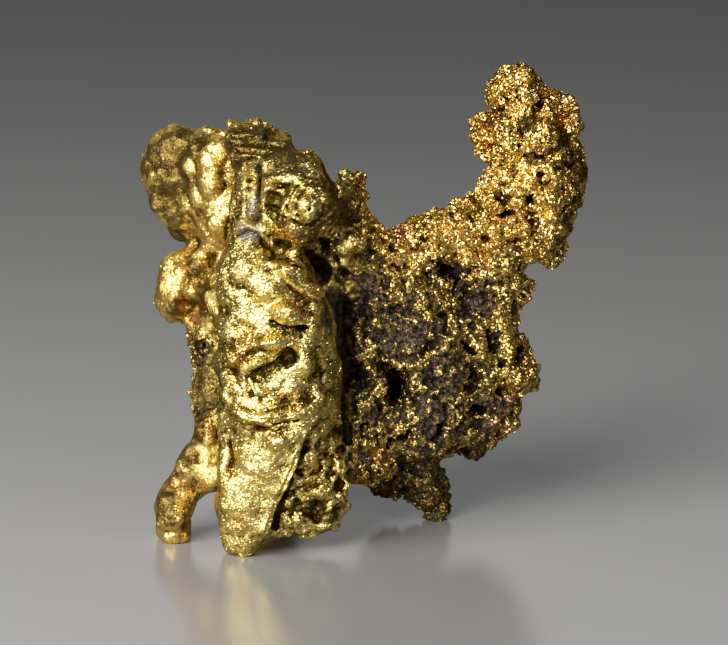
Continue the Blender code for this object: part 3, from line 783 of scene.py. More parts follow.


# %% Stains, film, rubbed places, painted shade and painted highlight
STAINS_AND_PAINTED_LIGHT = {
    # x, z and radius of each spot
    "stain_orange": [
        (-8.3, 13.2, 0.9), (-7.6, 13.9, 0.9), (-6.8, 14.5, 0.7), (-5.9, 9.5, 0.5),
        (-5.0, 9.5, 0.5), (-4.6, 21.3, 0.8), (-3.7, 20.9, 0.8), (-2.8, 21.4, 0.6),
        (-12.5, 4.1, 1.3), (-10.6, 7.4, 1.2), (-13.0, 15.4, 1.0), (-9.1, 24.7, 0.6),
        (-11.7, 17.1, 1.0), (-12.1, 15.1, 1.1), (-10.7, 15.3, 0.9), (-11.4, 13.9, 0.9),
        (13.2, 22.8, 0.9), (13.5, 24.0, 0.7), (12.7, 27.0, 0.7), (11.2, 28.3, 0.6),
        (9.0, 28.3, 0.5), (-7.9, 2.4, 0.7), (0.7, 5.6, 1.2), (0.4, 4.1, 1.0),
        (1.5, 4.3, 1.0), (4.4, 1.6, 0.9), (10.2, 11.6, 1.2), (10.6, 10.6, 1.0),
        (9.2, 9.5, 1.0), (7.4, 26.1, 0.9), (7.9, 25.3, 0.7), (5.9, 20.6, 0.6),
    ],
    # a green stain, and painted shade where the column's sides turn from the light and in some
    # recesses
    "green_stain_and_shade": [
        (-6.2, 12.5, 1.0), (-5.3, 13.2, 0.8), (-4.7, 13.6, 0.7), (-9.6, 16.1, 1.0),
        (-9.5, 14.2, 1.0), (-9.0, 13.9, 0.7), (-1.8, 12.6, 0.9), (-1.7, 10.8, 0.9),
        (-1.8, 9.3, 0.7), (-5.8, 22.6, 0.8), (0.3, 20.9, 0.5), (8.2, 10.8, 0.8),
        (7.4, 21.4, 0.8), (5.9, 20.9, 0.5),
    ],
    "stain_copper": [
        (8.8, 5.6, 0.8), (8.4, 6.7, 0.7), (9.1, 7.7, 0.7), (9.7, 8.4, 0.5),
        (9.2, 20.5, 0.35), (2.3, 19.9, 0.6), (8.1, 26.8, 0.5), (11.8, 25.3, 0.6),
        (13.5, 20.7, 0.8), (-4.0, 17.1, 0.4), (4.9, 17.6, 0.4), (12.9, 25.9, 0.5),
        (13.5, 23.9, 0.6), (13.7, 22.3, 0.6), (11.9, 28.2, 0.4),
    ],
    # brown tarnish on the crown and the toe, and painted shade where less light falls: the body's
    # shadow on the rear foot, the column's left side, the lobe's top left, round the bulb's button
    # and the arm's right side
    "brown_tarnish_and_shade": [
        (-8.2, 26.6, 2.2), (-7.0, 26.6, 2.2), (-5.6, 26.3, 2.0), (-7.6, 25.9, 1.7),
        (-5.0, 26.0, 1.5), (-9.4, 17.0, 1.0), (-9.4, 15.4, 0.9), (-3.4, 21.2, 1.0),
        (-13.6, 23.8, 2.1), (-12.9, 24.4, 2.0), (-12.4, 23.4, 1.5), (-13.2, 21.6, 1.7),
        (-12.7, 25.2, 1.5), (-11.7, 25.3, 1.3), (-10.8, 25.2, 0.9), (-12.6, 20.0, 1.1),
        (-5.2, 22.3, 0.7), (-4.9, 24.4, 0.6), (-5.7, 23.3, 0.6), (-9.2, 12.0, 0.9),
        (-9.0, 10.0, 0.8), (-11.6, 5.6, 1.1), (-12.9, 2.6, 1.2), (-12.4, 14.4, 1.0),
        (-11.2, 17.5, 0.9),
        (-10.5, 16.2, 1.0), (-10.5, 14.8, 0.8), (-10.9, 6.7, 1.0), (-12.4, 1.8, 0.9),
        (-10.3, 9.1, 1.4), (-10.5, 10.2, 1.2), (-10.7, 11.5, 1.4),
        (-12.2, 18.8, 1.2), (-1.5, 22.8, 1.8), (-1.9, 24.2, 1.6), (-1.4, 21.6, 1.6),
        (13.1, 25.6, 0.9), (13.6, 24.4, 1.0), (13.7, 23.2, 1.0), (13.6, 21.9, 1.0),
        (13.2, 20.6, 0.9), (12.6, 19.4, 0.8), (12.0, 26.6, 0.5), (10.6, 26.9, 0.7),
        (10.9, 24.7, 0.5), (7.9, 26.9, 0.5),
        (4.6, 2.8, 4.2), (3.4, 1.8, 3.8), (-3.4, 3.4, 1.0), (-2.4, 2.6, 0.8),
    ],
    "stain_slate": [
        (-6.9, 24.9, 0.45), (-6.9, 24.4, 0.5), (-6.9, 23.9, 0.55), (-6.95, 23.4, 0.55),
        (-7.0, 22.9, 0.55), (-7.0, 22.4, 0.6), (-7.1, 21.9, 0.6), (-7.5, 21.3, 0.7),
        (-6.9, 21.3, 0.7), (-6.1, 19.7, 0.35), (-6.2, 19.2, 0.3), (-4.0, 20.0, 0.4),
    ],
    "dull_film": [
        (-3.3, 18.5, 0.7), (-2.7, 17.8, 0.8), (-2.5, 16.9, 0.8), (-0.1, 16.7, 0.9),
        (0.5, 16.1, 1.0), (0.7, 17.4, 0.7), (2.3, 14.5, 1.2), (2.0, 12.8, 1.2),
        (3.0, 12.1, 1.0), (4.1, 11.0, 1.0), (7.2, 15.1, 1.3), (6.6, 14.4, 1.1),
        (7.7, 16.0, 0.9), (4.0, 8.9, 1.3), (4.4, 7.5, 1.3), (5.3, 8.4, 1.0),
        (-1.2, 10.7, 0.9), (-1.2, 9.2, 0.9), (-0.9, 7.3, 0.9), (3.3, 13.0, 0.8),
        (7.6, 8.7, 0.9), (8.6, 8.2, 0.8), (5.6, 16.8, 1.2), (-1.4, 13.4, 1.0),
        (0.4, 15.0, 1.1), (1.0, 13.5, 1.0), (3.4, 13.6, 1.2), (5.0, 12.0, 1.2), (3.0, 10.0, 1.2),
        (5.5, 9.8, 1.1), (2.6, 8.0, 1.0), (6.0, 6.8, 1.0), (5.0, 13.8, 1.0), (6.2, 11.0, 0.9),
        (3.2, 15.4, 0.9), (0.6, 10.5, 0.9), (0.8, 8.4, 0.9), (7.6, 6.6, 0.8), (4.4, 5.6, 1.2),
        (-2.7, 18.5, 0.9), (-2.2, 17.4, 1.0), (-1.7, 15.8, 1.3), (-1.2, 14.1, 1.5),
        (-1.0, 12.4, 1.5), (-0.9, 10.4, 1.5), (-2.3, 15.8, 1.0), (-0.8, 15.0, 1.5),
    ],
    # bare gold where film and tarnish are thin, and painted highlight on places turned to the light
    "rubbed_and_highlit": [
        # the beads and the hook
        (-0.8, 19.9, 0.8), (-1.3, 18.5, 0.6), (-0.1, 20.4, 0.6), (-0.5, 19.3, 0.6),
        (-1.7, 17.5, 0.4), (-1.2, 16.9, 0.4),
        # the foot and the top of the column, painted paler as a highlight
        (-6.5, 6.5, 1.8), (-7.2, 4.6, 1.8), (-7.0, 2.8, 1.3), (-5.6, 7.8, 1.1), (-6.3, 18.3, 1.2),
        (-5.0, 17.4, 1.1), (-6.6, 16.4, 1.4), (-4.6, 12.4, 0.9),
        # gold patches in the sponge
        (2.1, 17.2, 0.9), (3.0, 18.1, 0.8), (1.8, 14.3, 0.5), (0.1, 12.0, 0.6), (4.4, 12.3, 0.5),
        (8.9, 13.3, 0.9), (9.9, 12.0, 1.0), (9.3, 10.1, 1.0), (6.6, 10.0, 0.6), (0.5, 10.3, 0.7),
        (0.4, 6.1, 0.9), (1.3, 4.3, 0.7), (7.2, 5.9, 0.8), (3.5, 15.5, 0.5), (5.4, 14.6, 0.6),
        (10.2, 15.8, 0.9), (9.2, 16.9, 0.9), (5.9, 12.5, 0.6), (-0.8, 7.9, 0.6),
        # pale clumps of the arm, partly rubbed gold and partly painted highlight
        (10.0, 29.4, 1.0), (10.1, 28.2, 0.9), (9.1, 25.6, 0.8), (10.4, 24.3, 0.9),
        (10.0, 23.1, 0.9), (7.9, 22.5, 0.9), (11.6, 25.6, 0.5), (5.7, 20.5, 0.6),
        (6.7, 19.1, 0.9), (8.1, 19.8, 0.8), (11.9, 21.3, 0.7), (4.3, 19.8, 0.7),
        (2.7, 19.1, 0.7), (9.7, 26.9, 0.7),
    ],
}

# where a spot starts and where it is whole, in shares of its radius
SPOT_EDGE = (1.2, 0.35)


def spot_share(points, spots, ragged):
    """1 in the middle of each spot, 0 beyond its edge. The noise makes that edge ragged."""
    tree = skin_tree(CAD_NODE)
    share = np.zeros(len(points))
    for x, z, radius in spots:
        away = np.linalg.norm(points - np.array(on_front(tree, x, z)), axis=1)
        share = np.maximum(share, ramp(away / radius + ragged, *SPOT_EDGE))
    return share


# %% Work out all the masks
FINE_STEPS = 14
BROAD_STEPS = 110
FINE_PIT = (-0.03, 0.06)
BROAD_PIT = (-0.12, 0.24)
HIDDEN = (0.35, 1.0)
RAGGED = [
    # width, seed and height
    (1.1, 61, 0.75),
    (0.4, 62, 0.45),
]

skin = points_of(nugget)
fine_pit, broad_pit = depth_below(nugget, FINE_STEPS), depth_below(nugget, BROAD_STEPS)
for name, found in (("fine", fine_pit), ("broad", broad_pit)):
    print(name, "pits, the middle nine tenths:", np.percentile(found, [5, 95]).round(3), "mm")
fine_weight = 0.5 - 0.25 * column_share(skin) - 0.2 * lobe_share(skin)
fine_part, broad_part = ramp(fine_pit, *FINE_PIT), ramp(broad_pit, *BROAD_PIT)
masks = {
    "pit": fine_part * fine_weight + broad_part * (1 - fine_weight),
    "shaded": ramp(hidden_sky(nugget), *HIDDEN),
    "sponge": sponge_share(skin),
    "crystalline": arm_share(skin),
    "knobbly": lobe_share(skin),
    "smooth_metal": column_share(skin),
}
ragged = layered_noise(skin, np.ones(len(skin)), RAGGED)
masks.update({spot_name: spot_share(skin, spots, ragged) for spot_name, spots in STAINS_AND_PAINTED_LIGHT.items()})
for name, values in masks.items():
    print(f"{name}: mean {values.mean():.2f}")

# %% [markdown]
# ## Crystals
# Native metal grows in cubes, octahedra and shapes between them. Here they are 0.1 to 0.8 mm
# across, most of them small, and crowded on the arm and on the high grains of the sponge. One
# crystal is modelled as by hand: a cube with all its corners cut. It has only twenty triangles,
# because it is copied thousands of times. Each copy is turned, stretched and sunk in its own
# way. The copies are joined in one mesh, because single objects of that number would be slow.

# %% Model one crystal
CUBE_SIDE = 1.6

bpy.ops.object.select_all(action="DESELECT")
bpy.ops.mesh.primitive_cube_add(size=CUBE_SIDE, location=(0, 0, 0))
seed_crystal = bpy.context.object
with whole_mesh_selected(seed_crystal):
    bpy.ops.mesh.bevel(offset=CUBE_SIDE / 2, segments=1, affect="VERTICES")
    bpy.ops.mesh.remove_doubles(threshold=SAME_PLACE)
    bpy.ops.mesh.quads_convert_to_tris()
crystal_points = np.array([vertex.co[:] for vertex in seed_crystal.data.vertices])
# on another run the operators can leave the faces in another order, so they are sorted
crystal_faces = np.array(sorted(face.vertices[:] for face in seed_crystal.data.polygons))
bpy.data.objects.remove(seed_crystal)
print("one crystal has", len(crystal_faces), "triangles")

# %% Choose where crystals grow
CRYSTALS = [
    # zone, how many, smallest and largest radius, how far each is sunk
    (arm_share, 2600, (0.08, 0.40), 0.70),
    (sponge_share, 4600, (0.05, 0.18), 0.55),
    (lobe_share, 160, (0.08, 0.20), 0.74),
]
CRYSTAL_SEED = 51
CLUMP = 1.1
CLUMP_EDGE = (-0.35, 0.35)
BETWEEN_CLUMPS = 0.15
STRETCH = (0.75, 1.25)


def grow_crystals():
    """The points of all the crystals, one block of points for each crystal."""
    rng = np.random.default_rng(CRYSTAL_SEED)
    points, normals = points_of(nugget), normals_of(nugget)
    clumps = ramp(noise_at(points, np.ones(len(points)), CLUMP, seed=8), *CLUMP_EDGE)
    blocks = []
    for share_of, count, radii, sunk in CRYSTALS:
        share = share_of(points) * (1 - masks["pit"]) ** 2 * (BETWEEN_CLUMPS + clumps)
        spots = pick_spots(rng, share, count)
        radius = pick_sizes(rng, *radii, count, few_large=3)
        stretch = rng.uniform(*STRETCH, (count, 1, 3))
        shapes = crystal_points[None] * stretch @ random_turns(rng, count)
        centres = points[spots] + normals[spots] * (radius * (1 - 2 * sunk))[:, None]
        blocks.append(shapes * radius[:, None, None] + centres[:, None])
    return np.concatenate(blocks)


# %% Join the crystals in one mesh
CRYSTAL_GAP = 0.01

blocks = grow_crystals()
inside = ((blocks > low + CRYSTAL_GAP) & (blocks < high - CRYSTAL_GAP)).all((1, 2))
blocks = blocks[inside]
starts = np.arange(len(blocks))[:, None, None] * len(crystal_points)
faces = (crystal_faces[None] + starts).reshape(-1, 3)
crystal_mesh = bpy.data.meshes.new("crystals")
crystal_mesh.from_pydata((blocks.reshape(-1, 3) * MM).tolist(), [], faces.tolist())
crystals = put_in_scene("crystals", crystal_mesh)
print(len(blocks), "crystals,", len(faces), "triangles")


# %% [markdown]
# ## Four closed pieces
# So fine a skin is heavy, and software that opens this model later works better with pieces of
# fewer than 200,000 triangles. So the skin is cut with flat planes, like cheese, and each
# cut is filled. The cuts lie inside the metal, where nobody sees them. The Decimate modifier
# then keeps small faces where the skin bends and large ones where it is smooth.

# %% Cut, fill and thin
PIECE_TRIANGLES = 188000
MEND_ROUNDS = 4
# each plane's place and the way that it faces
LEFT_CUT = (-0.85, 0, 0), (1, 0, 0)
COLUMN_CUT = (0, -0.55, 0), (0, 1, 0)
ARM_CUT = (0, 0, 18.3), (0, 0, 1)
ON_PLANE = 0.0001


def cut_off(obj, name, plane, keep_beyond):
    """A copy of the piece with only what lies beyond the plane, or before it."""
    piece = put_in_scene(name, obj.data.copy())
    place, normal = plane
    with whole_mesh_selected(piece):
        bpy.ops.mesh.bisect(
            plane_co=[value * MM for value in place],
            plane_no=normal,
            use_fill=True,
            threshold=ON_PLANE * MM,
            clear_inner=keep_beyond,
            clear_outer=not keep_beyond,
        )
    return piece


def thin(obj):
    apply_modifier(obj, "TRIANGULATE")
    share = PIECE_TRIANGLES / len(obj.data.polygons)
    if share < 1:
        apply_modifier(obj, "DECIMATE", ratio=share)
    print(obj.name, "has", len(obj.data.polygons), "triangles, thinned to", round(share, 2))


def mend(obj):
    """Cuts out any point where thinning left an edge without two faces, and fills the hole."""
    bm = bmesh.new()
    bm.from_mesh(obj.data)
    for _ in range(MEND_ROUNDS):
        faulty = {vertex for edge in bm.edges if len(edge.link_faces) != 2 for vertex in edge.verts}
        if not faulty:
            break
        bmesh.ops.delete(bm, geom=list(faulty), context="VERTS")
        bare = [edge for edge in bm.edges if not edge.link_faces]
        bmesh.ops.delete(bm, geom=bare, context="EDGES")
        rims = [edge for edge in bm.edges if len(edge.link_faces) == 1]
        filled = bmesh.ops.holes_fill(bm, edges=rims, sides=0)["faces"]
        bmesh.ops.triangulate(bm, faces=filled)
    bm.to_mesh(obj.data)
    bm.free()


left_half = cut_off(nugget, "left_half", LEFT_CUT, False)
right_half = cut_off(nugget, "right_half", LEFT_CUT, True)
pieces = [
    cut_off(left_half, "folded_column", COLUMN_CUT, False),
    cut_off(left_half, "knobbly_lobe", COLUMN_CUT, True),
    cut_off(right_half, "spongy_body", ARM_CUT, False),
    cut_off(right_half, "crystal_arm", ARM_CUT, True),
]
for done in (left_half, right_half, nugget):
    bpy.data.objects.remove(done)
for piece in pieces:
    thin(piece)
    mend(piece)

# %% Are the pieces closed?
for piece in pieces:
    bm = bmesh.new()
    bm.from_mesh(piece.data)
    open_edges = sum(1 for edge in bm.edges if len(edge.link_faces) != 2)
    bm.free()
    print(piece.name, "has", open_edges, "edges without two faces")

# %% Store the masks on each piece
finder = point_finder(skin.tolist())


def store_masks(obj, nearest, repeats=1):
    for name, values in masks.items():
        attribute = obj.data.attributes.new(name, "FLOAT", "POINT")
        attribute.data.foreach_set("value", np.repeat(values[nearest], repeats).astype(np.float32))


for piece in pieces:
    store_masks(piece, [finder.find(point)[1] for point in points_of(piece).tolist()])
store_masks(crystals, [finder.find(block.mean(0))[1] for block in blocks], len(crystal_points))
# a crystal stands proud of the skin, so it is less of a pit and less shaded
for name, share in (("pit", 0.3), ("shaded", 0.6)):
    stored = crystals.data.attributes[name].data
    stored.foreach_set("value", read_rows(stored, "value", 1).ravel() * share)
print("masks on each piece:", len(masks))

# %% [markdown]
# ## The metal
# This is native metal, coloured like gold, as it grew: no polish, a satin surface of crystal
# faces far smaller than a millimetre. Each face catches the light at its own angle, which
# gives the sparkle. High grains are bright yellow. In the hollows a brown tarnish and a dark
# grey film dull the metal. The colour also holds painted light: olive gold in the dents, brown
# on some sides turned from the light and black in deep pockets are painted shade, and paler
# places are painted highlight. Pure noise would put these colours anywhere, so here the masks
# steer them, and noise only breaks their edges.

# %% Tools for materials
# A spread turns one range to another: a value, the first range, and the second one. A mix of
# colours has its share as input 0 and the colours as inputs 6 and 7, and it gives output 2.
MATH, VECTOR = "ShaderNodeMath", "ShaderNodeVectorMath"
MIX, SPREAD = "ShaderNodeMix", "ShaderNodeMapRange"
BLEND = {"give": 2, "data_type": "RGBA"}


def colour(code):
    """An sRGB hex colour turned to the linear colour that the shader needs."""
    channels = [int(code[i : i + 2], 16) / 255 for i in (1, 3, 5)]
    linear = [c / 12.92 if c <= 0.04045 else ((c + 0.055) / 1.055) ** 2.4 for c in channels]
    return (*linear, 1)


def add_node(tree, kind, inputs=(), give=0, **settings):
    """Adds a node and gives one of its outputs. Inputs are values, or outputs to link."""
    node = tree.nodes.new(kind)
    for name, value in settings.items():
        setattr(node, name, value)
    given = inputs.items() if isinstance(inputs, dict) else enumerate(inputs)
    for key, value in given:
        if isinstance(value, bpy.types.NodeSocket):
            tree.links.new(value, node.inputs[key])
        else:
            node.inputs[key].default_value = value
    return node.outputs[give] if len(node.outputs) else None


def new_material(name):
    material = bpy.data.materials.new(name)
    material.use_nodes = True
    material.node_tree.nodes.clear()
    shader = add_node(material.node_tree, "ShaderNodeBsdfPrincipled")
    add_node(material.node_tree, "ShaderNodeOutputMaterial", {"Surface": shader})
    return material, material.node_tree, shader.node


# %% Start the metal: its masks and its patterns
# Real facets are finer than 0.1 mm. They are drawn as coarse as they need to be to show.
FACET = 0.10 * MM
GRAIN = 0.30 * MM
SPECKLE = 0.36 * MM
PATCH = 2.2 * MM
FACET_TURN = math.radians(25)
FACET_FLATTER = 1.9
WEAR_AND_HIGHLIGHT_BRIGHTER = 0.40

metal, tree, shader = new_material("native_metal")
place = add_node(tree, "ShaderNodeTexCoord", give="Object")
mark = {
    name: add_node(tree, "ShaderNodeAttribute", give="Fac", attribute_name=name) for name in masks
}
patches, grains, speckle = (
    add_node(
        tree,
        "ShaderNodeTexNoise",
        {"Vector": place, "Scale": 1 / width, "Detail": detail, "Roughness": 0.6},
    )
    for width, detail in ((PATCH, 3), (GRAIN, 4), (SPECKLE, 3))
)
turned = add_node(
    tree,
    "ShaderNodeVectorRotate",
    {"Vector": place, "Angle": FACET_TURN},
    rotation_type="Y_AXIS",
)
flatter = add_node(tree, SPREAD, [mark["smooth_metal"], 0, 1, 1, FACET_FLATTER])
flatter = add_node(tree, "ShaderNodeCombineXYZ", [1, 1, flatter])
turned = add_node(tree, VECTOR, [turned, flatter], operation="MULTIPLY")
facets = add_node(tree, "ShaderNodeTexVoronoi", {"Vector": turned, "Scale": 1 / FACET}).node
uneven = add_node(tree, SPREAD, [grains, 0.35, 0.65, -0.16, 0.16])
depth = add_node(tree, MATH, [mark["pit"], uneven], operation="ADD")
worn_and_highlit = add_node(tree, MATH, [mark["rubbed_and_highlit"], WEAR_AND_HIGHLIGHT_BRIGHTER], operation="MULTIPLY")
depth = add_node(tree, MATH, [depth, worn_and_highlit], operation="SUBTRACT", use_clamp=True)
print("patterns of", [round(size / MM, 2) for size in (FACET, GRAIN, SPECKLE, PATCH)], "mm")

# %% Painted shade in thin wrinkles on the column, where a noise crosses its middle
WRINKLE = 1.5 * MM
WRINKLE_HALF = 0.045
WRINKLE_SHADE = 0.37

folds = {"Vector": turned, "Scale": 1 / WRINKLE, "Detail": 4, "Roughness": 0.62, "Distortion": 0.6}
folds = add_node(tree, "ShaderNodeTexNoise", folds)
folds = add_node(tree, MATH, [folds, 0.5], operation="SUBTRACT")
folds = add_node(tree, MATH, [folds], operation="ABSOLUTE")
folds = add_node(tree, SPREAD, [folds, 0, WRINKLE_HALF, WRINKLE_SHADE, 0])
depth = add_node(tree, MATH, [folds, mark["smooth_metal"], depth], operation="MULTIPLY_ADD")
print("wrinkles", round(WRINKLE / MM, 1), "mm apart, nodes so far:", len(tree.nodes))

# %% Gold: pale on the high grains, olive in the dents as painted shade, warmer on the arm, dusty on the sponge
PALE_GOLD = colour("#f8dd85")
OLIVE_GOLD = colour("#aa8730")
RICH_GOLD = colour("#f3d17c")
WARM_GOLD = colour("#aa7c2a")
DUSTY_GOLD = colour("#b8964a")
DUST = 0.55

rich = add_node(tree, MATH, [mark["crystalline"], mark["knobbly"]], operation="MAXIMUM")
high = add_node(tree, MIX, {0: rich, 6: PALE_GOLD, 7: RICH_GOLD}, **BLEND)
low_gold = add_node(tree, MIX, {0: mark["crystalline"], 6: OLIVE_GOLD, 7: WARM_GOLD}, **BLEND)
dusty = add_node(tree, MATH, [mark["sponge"], DUST], operation="MULTIPLY")
dent_shade = add_node(tree, SPREAD, [depth, 0.25, 0.70])
print("nodes with the golds:", len(tree.nodes))

# %% Darker patches, single dark facets, and painted shade on the arm away from its pale clumps
patchy = add_node(tree, SPREAD, [patches, 0.42, 0.68, 0, 0.3])
own_shade = add_node(tree, "ShaderNodeSeparateColor", [facets.outputs["Color"]])
own_shade = add_node(tree, SPREAD, [own_shade, 0.5, 1, 0, 0.6])
arm_shade = add_node(tree, MATH, [mark["crystalline"], worn_and_highlit], operation="SUBTRACT")
arm_shade = add_node(tree, SPREAD, [arm_shade, 0.6, 1, 0, 0.35])
for other in (own_shade, arm_shade):
    patchy = add_node(tree, MATH, [patchy, other], operation="MAXIMUM")
patchy = add_node(tree, MATH, [patchy, worn_and_highlit], operation="SUBTRACT", use_clamp=True)

gold = high
for share, over in ((dusty, DUSTY_GOLD), (dent_shade, low_gold), (patchy, low_gold)):
    gold = add_node(tree, MIX, {0: share, 6: gold, 7: over}, **BLEND)
print("nodes with the patches:", len(tree.nodes))

# %% Stains: orange, green, pink copper and brown tarnish, the green and the brown with painted shade
TINTS_OF_STAIN_AND_SHADE = [
    # mask, colour, how strong
    ("stain_orange", colour("#b0661a"), 0.45),
    ("green_stain_and_shade", colour("#5a6426"), 0.60),
    ("stain_copper", colour("#c88a74"), 0.90),
]
TARNISH_AND_SHADE_BROWN = colour("#40300f")

for name, tint, strength in TINTS_OF_STAIN_AND_SHADE:
    share = add_node(tree, MATH, [mark[name], strength], operation="MULTIPLY")
    gold = add_node(tree, MIX, {0: share, 6: gold, 7: tint}, **BLEND)
joint = add_node(tree, SPREAD, [facets.outputs["Distance"], 0.55, 0.95, 0, 0.30])
crevice = add_node(tree, MATH, [depth, joint], operation="ADD")
hollow = add_node(tree, SPREAD, [crevice, 0.38, 0.80])
# brown tarnish, and painted shade at the brown spots
tarnish_shade_spots = add_node(tree, SPREAD, [mark["brown_tarnish_and_shade"], 0.1, 0.7, 0, 0.88])
brown = add_node(tree, MATH, [hollow, tarnish_shade_spots], operation="MAXIMUM")
print("nodes with the stains:", len(tree.nodes))

# %% Film: a dark grey crust in the sponge, a paler one in the gutter
DARK_FILM = colour("#2b2014")
GREY_FILM = colour("#605345")
SLATE_FILM = colour("#6e6668")
PAINTED_SHADE_BLACK = colour("#0e0a07")
SLATE_COVER = 0.85
SHADE_CURVE = 1.1

rough_edge = add_node(tree, SPREAD, [speckle, 0.32, 0.68, -0.42, 0.42])
cover = add_node(tree, MATH, [depth, rough_edge], operation="ADD")
crusted = add_node(tree, SPREAD, [mark["smooth_metal"], 0, 1, 0.70, 0.95])
cover = add_node(tree, MATH, [mark["dull_film"], crusted, cover], operation="MULTIPLY_ADD")
cover = add_node(tree, MATH, [cover, worn_and_highlit], operation="SUBTRACT")
cover = add_node(tree, SPREAD, [cover, 0.34, 0.62])
porous = add_node(tree, MATH, [mark["sponge"], mark["dull_film"]], operation="MAXIMUM")
film = add_node(tree, MATH, [porous, cover], operation="MULTIPLY")
slate = add_node(tree, MATH, [mark["stain_slate"], SLATE_COVER], operation="MULTIPLY")
film = add_node(tree, MATH, [film, slate], operation="MAXIMUM")
mottled = add_node(tree, SPREAD, [grains, 0.40, 0.62])
film_colour = add_node(tree, MIX, {0: mottled, 6: DARK_FILM, 7: GREY_FILM}, **BLEND)
film_colour = add_node(
    tree, MIX, {0: mark["stain_slate"], 6: film_colour, 7: SLATE_FILM}, **BLEND
)
# Painted shade: where the nugget hides much of the sky from a point, the colour goes towards black,
# less so in the gutter
pocket_shade = add_node(tree, MATH, [mark["shaded"], SHADE_CURVE], operation="POWER")
not_gutter = add_node(tree, SPREAD, [mark["stain_slate"], 0, 1, 1, 0.3])
pocket_shade = add_node(tree, MATH, [pocket_shade, not_gutter], operation="MULTIPLY")
print("nodes with the film:", len(tree.nodes))

# %% Lay the tarnish and its painted shade, the film, and the black painted shade of the pockets over the gold
METAL_EDGE = colour("#b0a080")
SPOT_DULLS = 0.40
DULL_METALLIC = 0.55

final_colour = gold
for share, over in ((brown, TARNISH_AND_SHADE_BROWN), (film, film_colour), (pocket_shade, PAINTED_SHADE_BLACK)):
    final_colour = add_node(tree, MIX, {0: share, 6: final_colour, 7: over}, **BLEND)
tree.links.new(final_colour, shader.inputs["Base Color"])
shader.inputs["Specular Tint"].default_value = METAL_EDGE
dull = add_node(tree, MATH, [tarnish_shade_spots, SPOT_DULLS], operation="MULTIPLY")
dull = add_node(tree, MATH, [film, dull], operation="MAXIMUM")
metallic = add_node(tree, SPREAD, [dull, 0, 1, 1, DULL_METALLIC])
tree.links.new(metallic, shader.inputs["Metallic"])
print("nodes with all the colours:", len(tree.nodes))

# %% Satin gloss, duller on the knobs, on the film and in the hollows
KNOB_ROUGH = 0.10
COLUMN_ROUGH = 0.04
FILM_ROUGH = 0.14
HOLLOW_ROUGH = 0.2

rough = add_node(tree, SPREAD, [facets.outputs["Distance"], 0.1, 0.8, 0.22, 0.33])
deep = add_node(tree, SPREAD, [depth, 0.4, 0.9])
for share, extra in (
    (mark["knobbly"], KNOB_ROUGH),
    (mark["smooth_metal"], COLUMN_ROUGH),
    (dull, FILM_ROUGH),
    (deep, HOLLOW_ROUGH),
):
    rough = add_node(tree, MATH, [share, extra, rough], operation="MULTIPLY_ADD")
tree.links.new(rough, shader.inputs["Roughness"])
print("nodes with the gloss:", len(tree.nodes))

# %% Each crystal face tilts its own way, a few of them far
LEAST_TILT = 0.62
ZONE_TILTS = {"crystalline": 0.20, "sponge": 0.25, "knobbly": -0.30, "smooth_metal": -0.20}
FAR_TILT = 2.2
KNOB_FAR_TILT = 0.8
FEW_FAR = 3.5
BUMP_DEPTH = 0.06 * MM
BUMP_SHARE = 0.6

tilt = add_node(tree, VECTOR, [facets.outputs["Color"], (0.5, 0.5, 0.5)], operation="SUBTRACT")
luck = add_node(tree, "ShaderNodeTexWhiteNoise", {"Vector": facets.outputs["Position"]})
luck = add_node(tree, MATH, [luck, FEW_FAR], operation="POWER")
far = add_node(tree, SPREAD, [mark["knobbly"], 0, 1, FAR_TILT, KNOB_FAR_TILT])
amount = add_node(tree, MATH, [luck, far, LEAST_TILT], operation="MULTIPLY_ADD")
for name, extra in ZONE_TILTS.items():
    amount = add_node(tree, MATH, [mark[name], extra, amount], operation="MULTIPLY_ADD")
tilt = add_node(tree, VECTOR, {0: tilt, "Scale": amount}, operation="SCALE")
normal = add_node(tree, "ShaderNodeNewGeometry", give="Normal")
tilted = add_node(tree, VECTOR, [normal, tilt], operation="ADD")
tilted = add_node(tree, VECTOR, [tilted], operation="NORMALIZE")
bump = add_node(
    tree,
    "ShaderNodeBump",
    {"Height": grains, "Strength": BUMP_SHARE, "Distance": BUMP_DEPTH, "Normal": tilted},
)
tree.links.new(bump, shader.inputs["Normal"])
print("nodes in the metal:", len(tree.nodes))

# %% Give the metal to all the pieces
SHARP_FROM = math.radians(50)

for piece in (*pieces, crystals):
    piece.data.materials.clear()
    piece.data.materials.append(metal)
for piece in pieces:
    select_only(piece)
    bpy.ops.object.shade_smooth_by_angle(angle=SHARP_FROM)
print("pieces of native metal:", [piece.name for piece in (*pieces, crystals)])

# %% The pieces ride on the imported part
for piece in (*pieces, crystals):
    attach(piece, "root")
    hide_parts("nugget")
print("pieces that stand for the nugget:", len(pieces) + 1)


# %% [markdown]
# ## Table, light and camera
# The specimen stands on a plain pale sheet of glossy card, which mirrors its feet a little. A
# close-up of so small a thing has its softbox close too, so about a watt is enough. The light
# falls off quickly, and the card darkens towards the back. The card is wide, so that it fills
# the view from the sides and the back too. A metal shows what is round it, so white cards stand
# in front and behind to be seen in its facets. They light the metal only: on the table they
# would show as pale patches. Light linking does this with one collection.

# %% The pale card
# Coated card: smooth, with a soft sheen that mirrors the feet faintly and blurs the rest.
CARD_SIZE = 3
CARD_BACK = 1.0
CARD_GREY = colour("#939290")
CARD_ROUGH = 0.24
CARD_SHEEN = 0.28

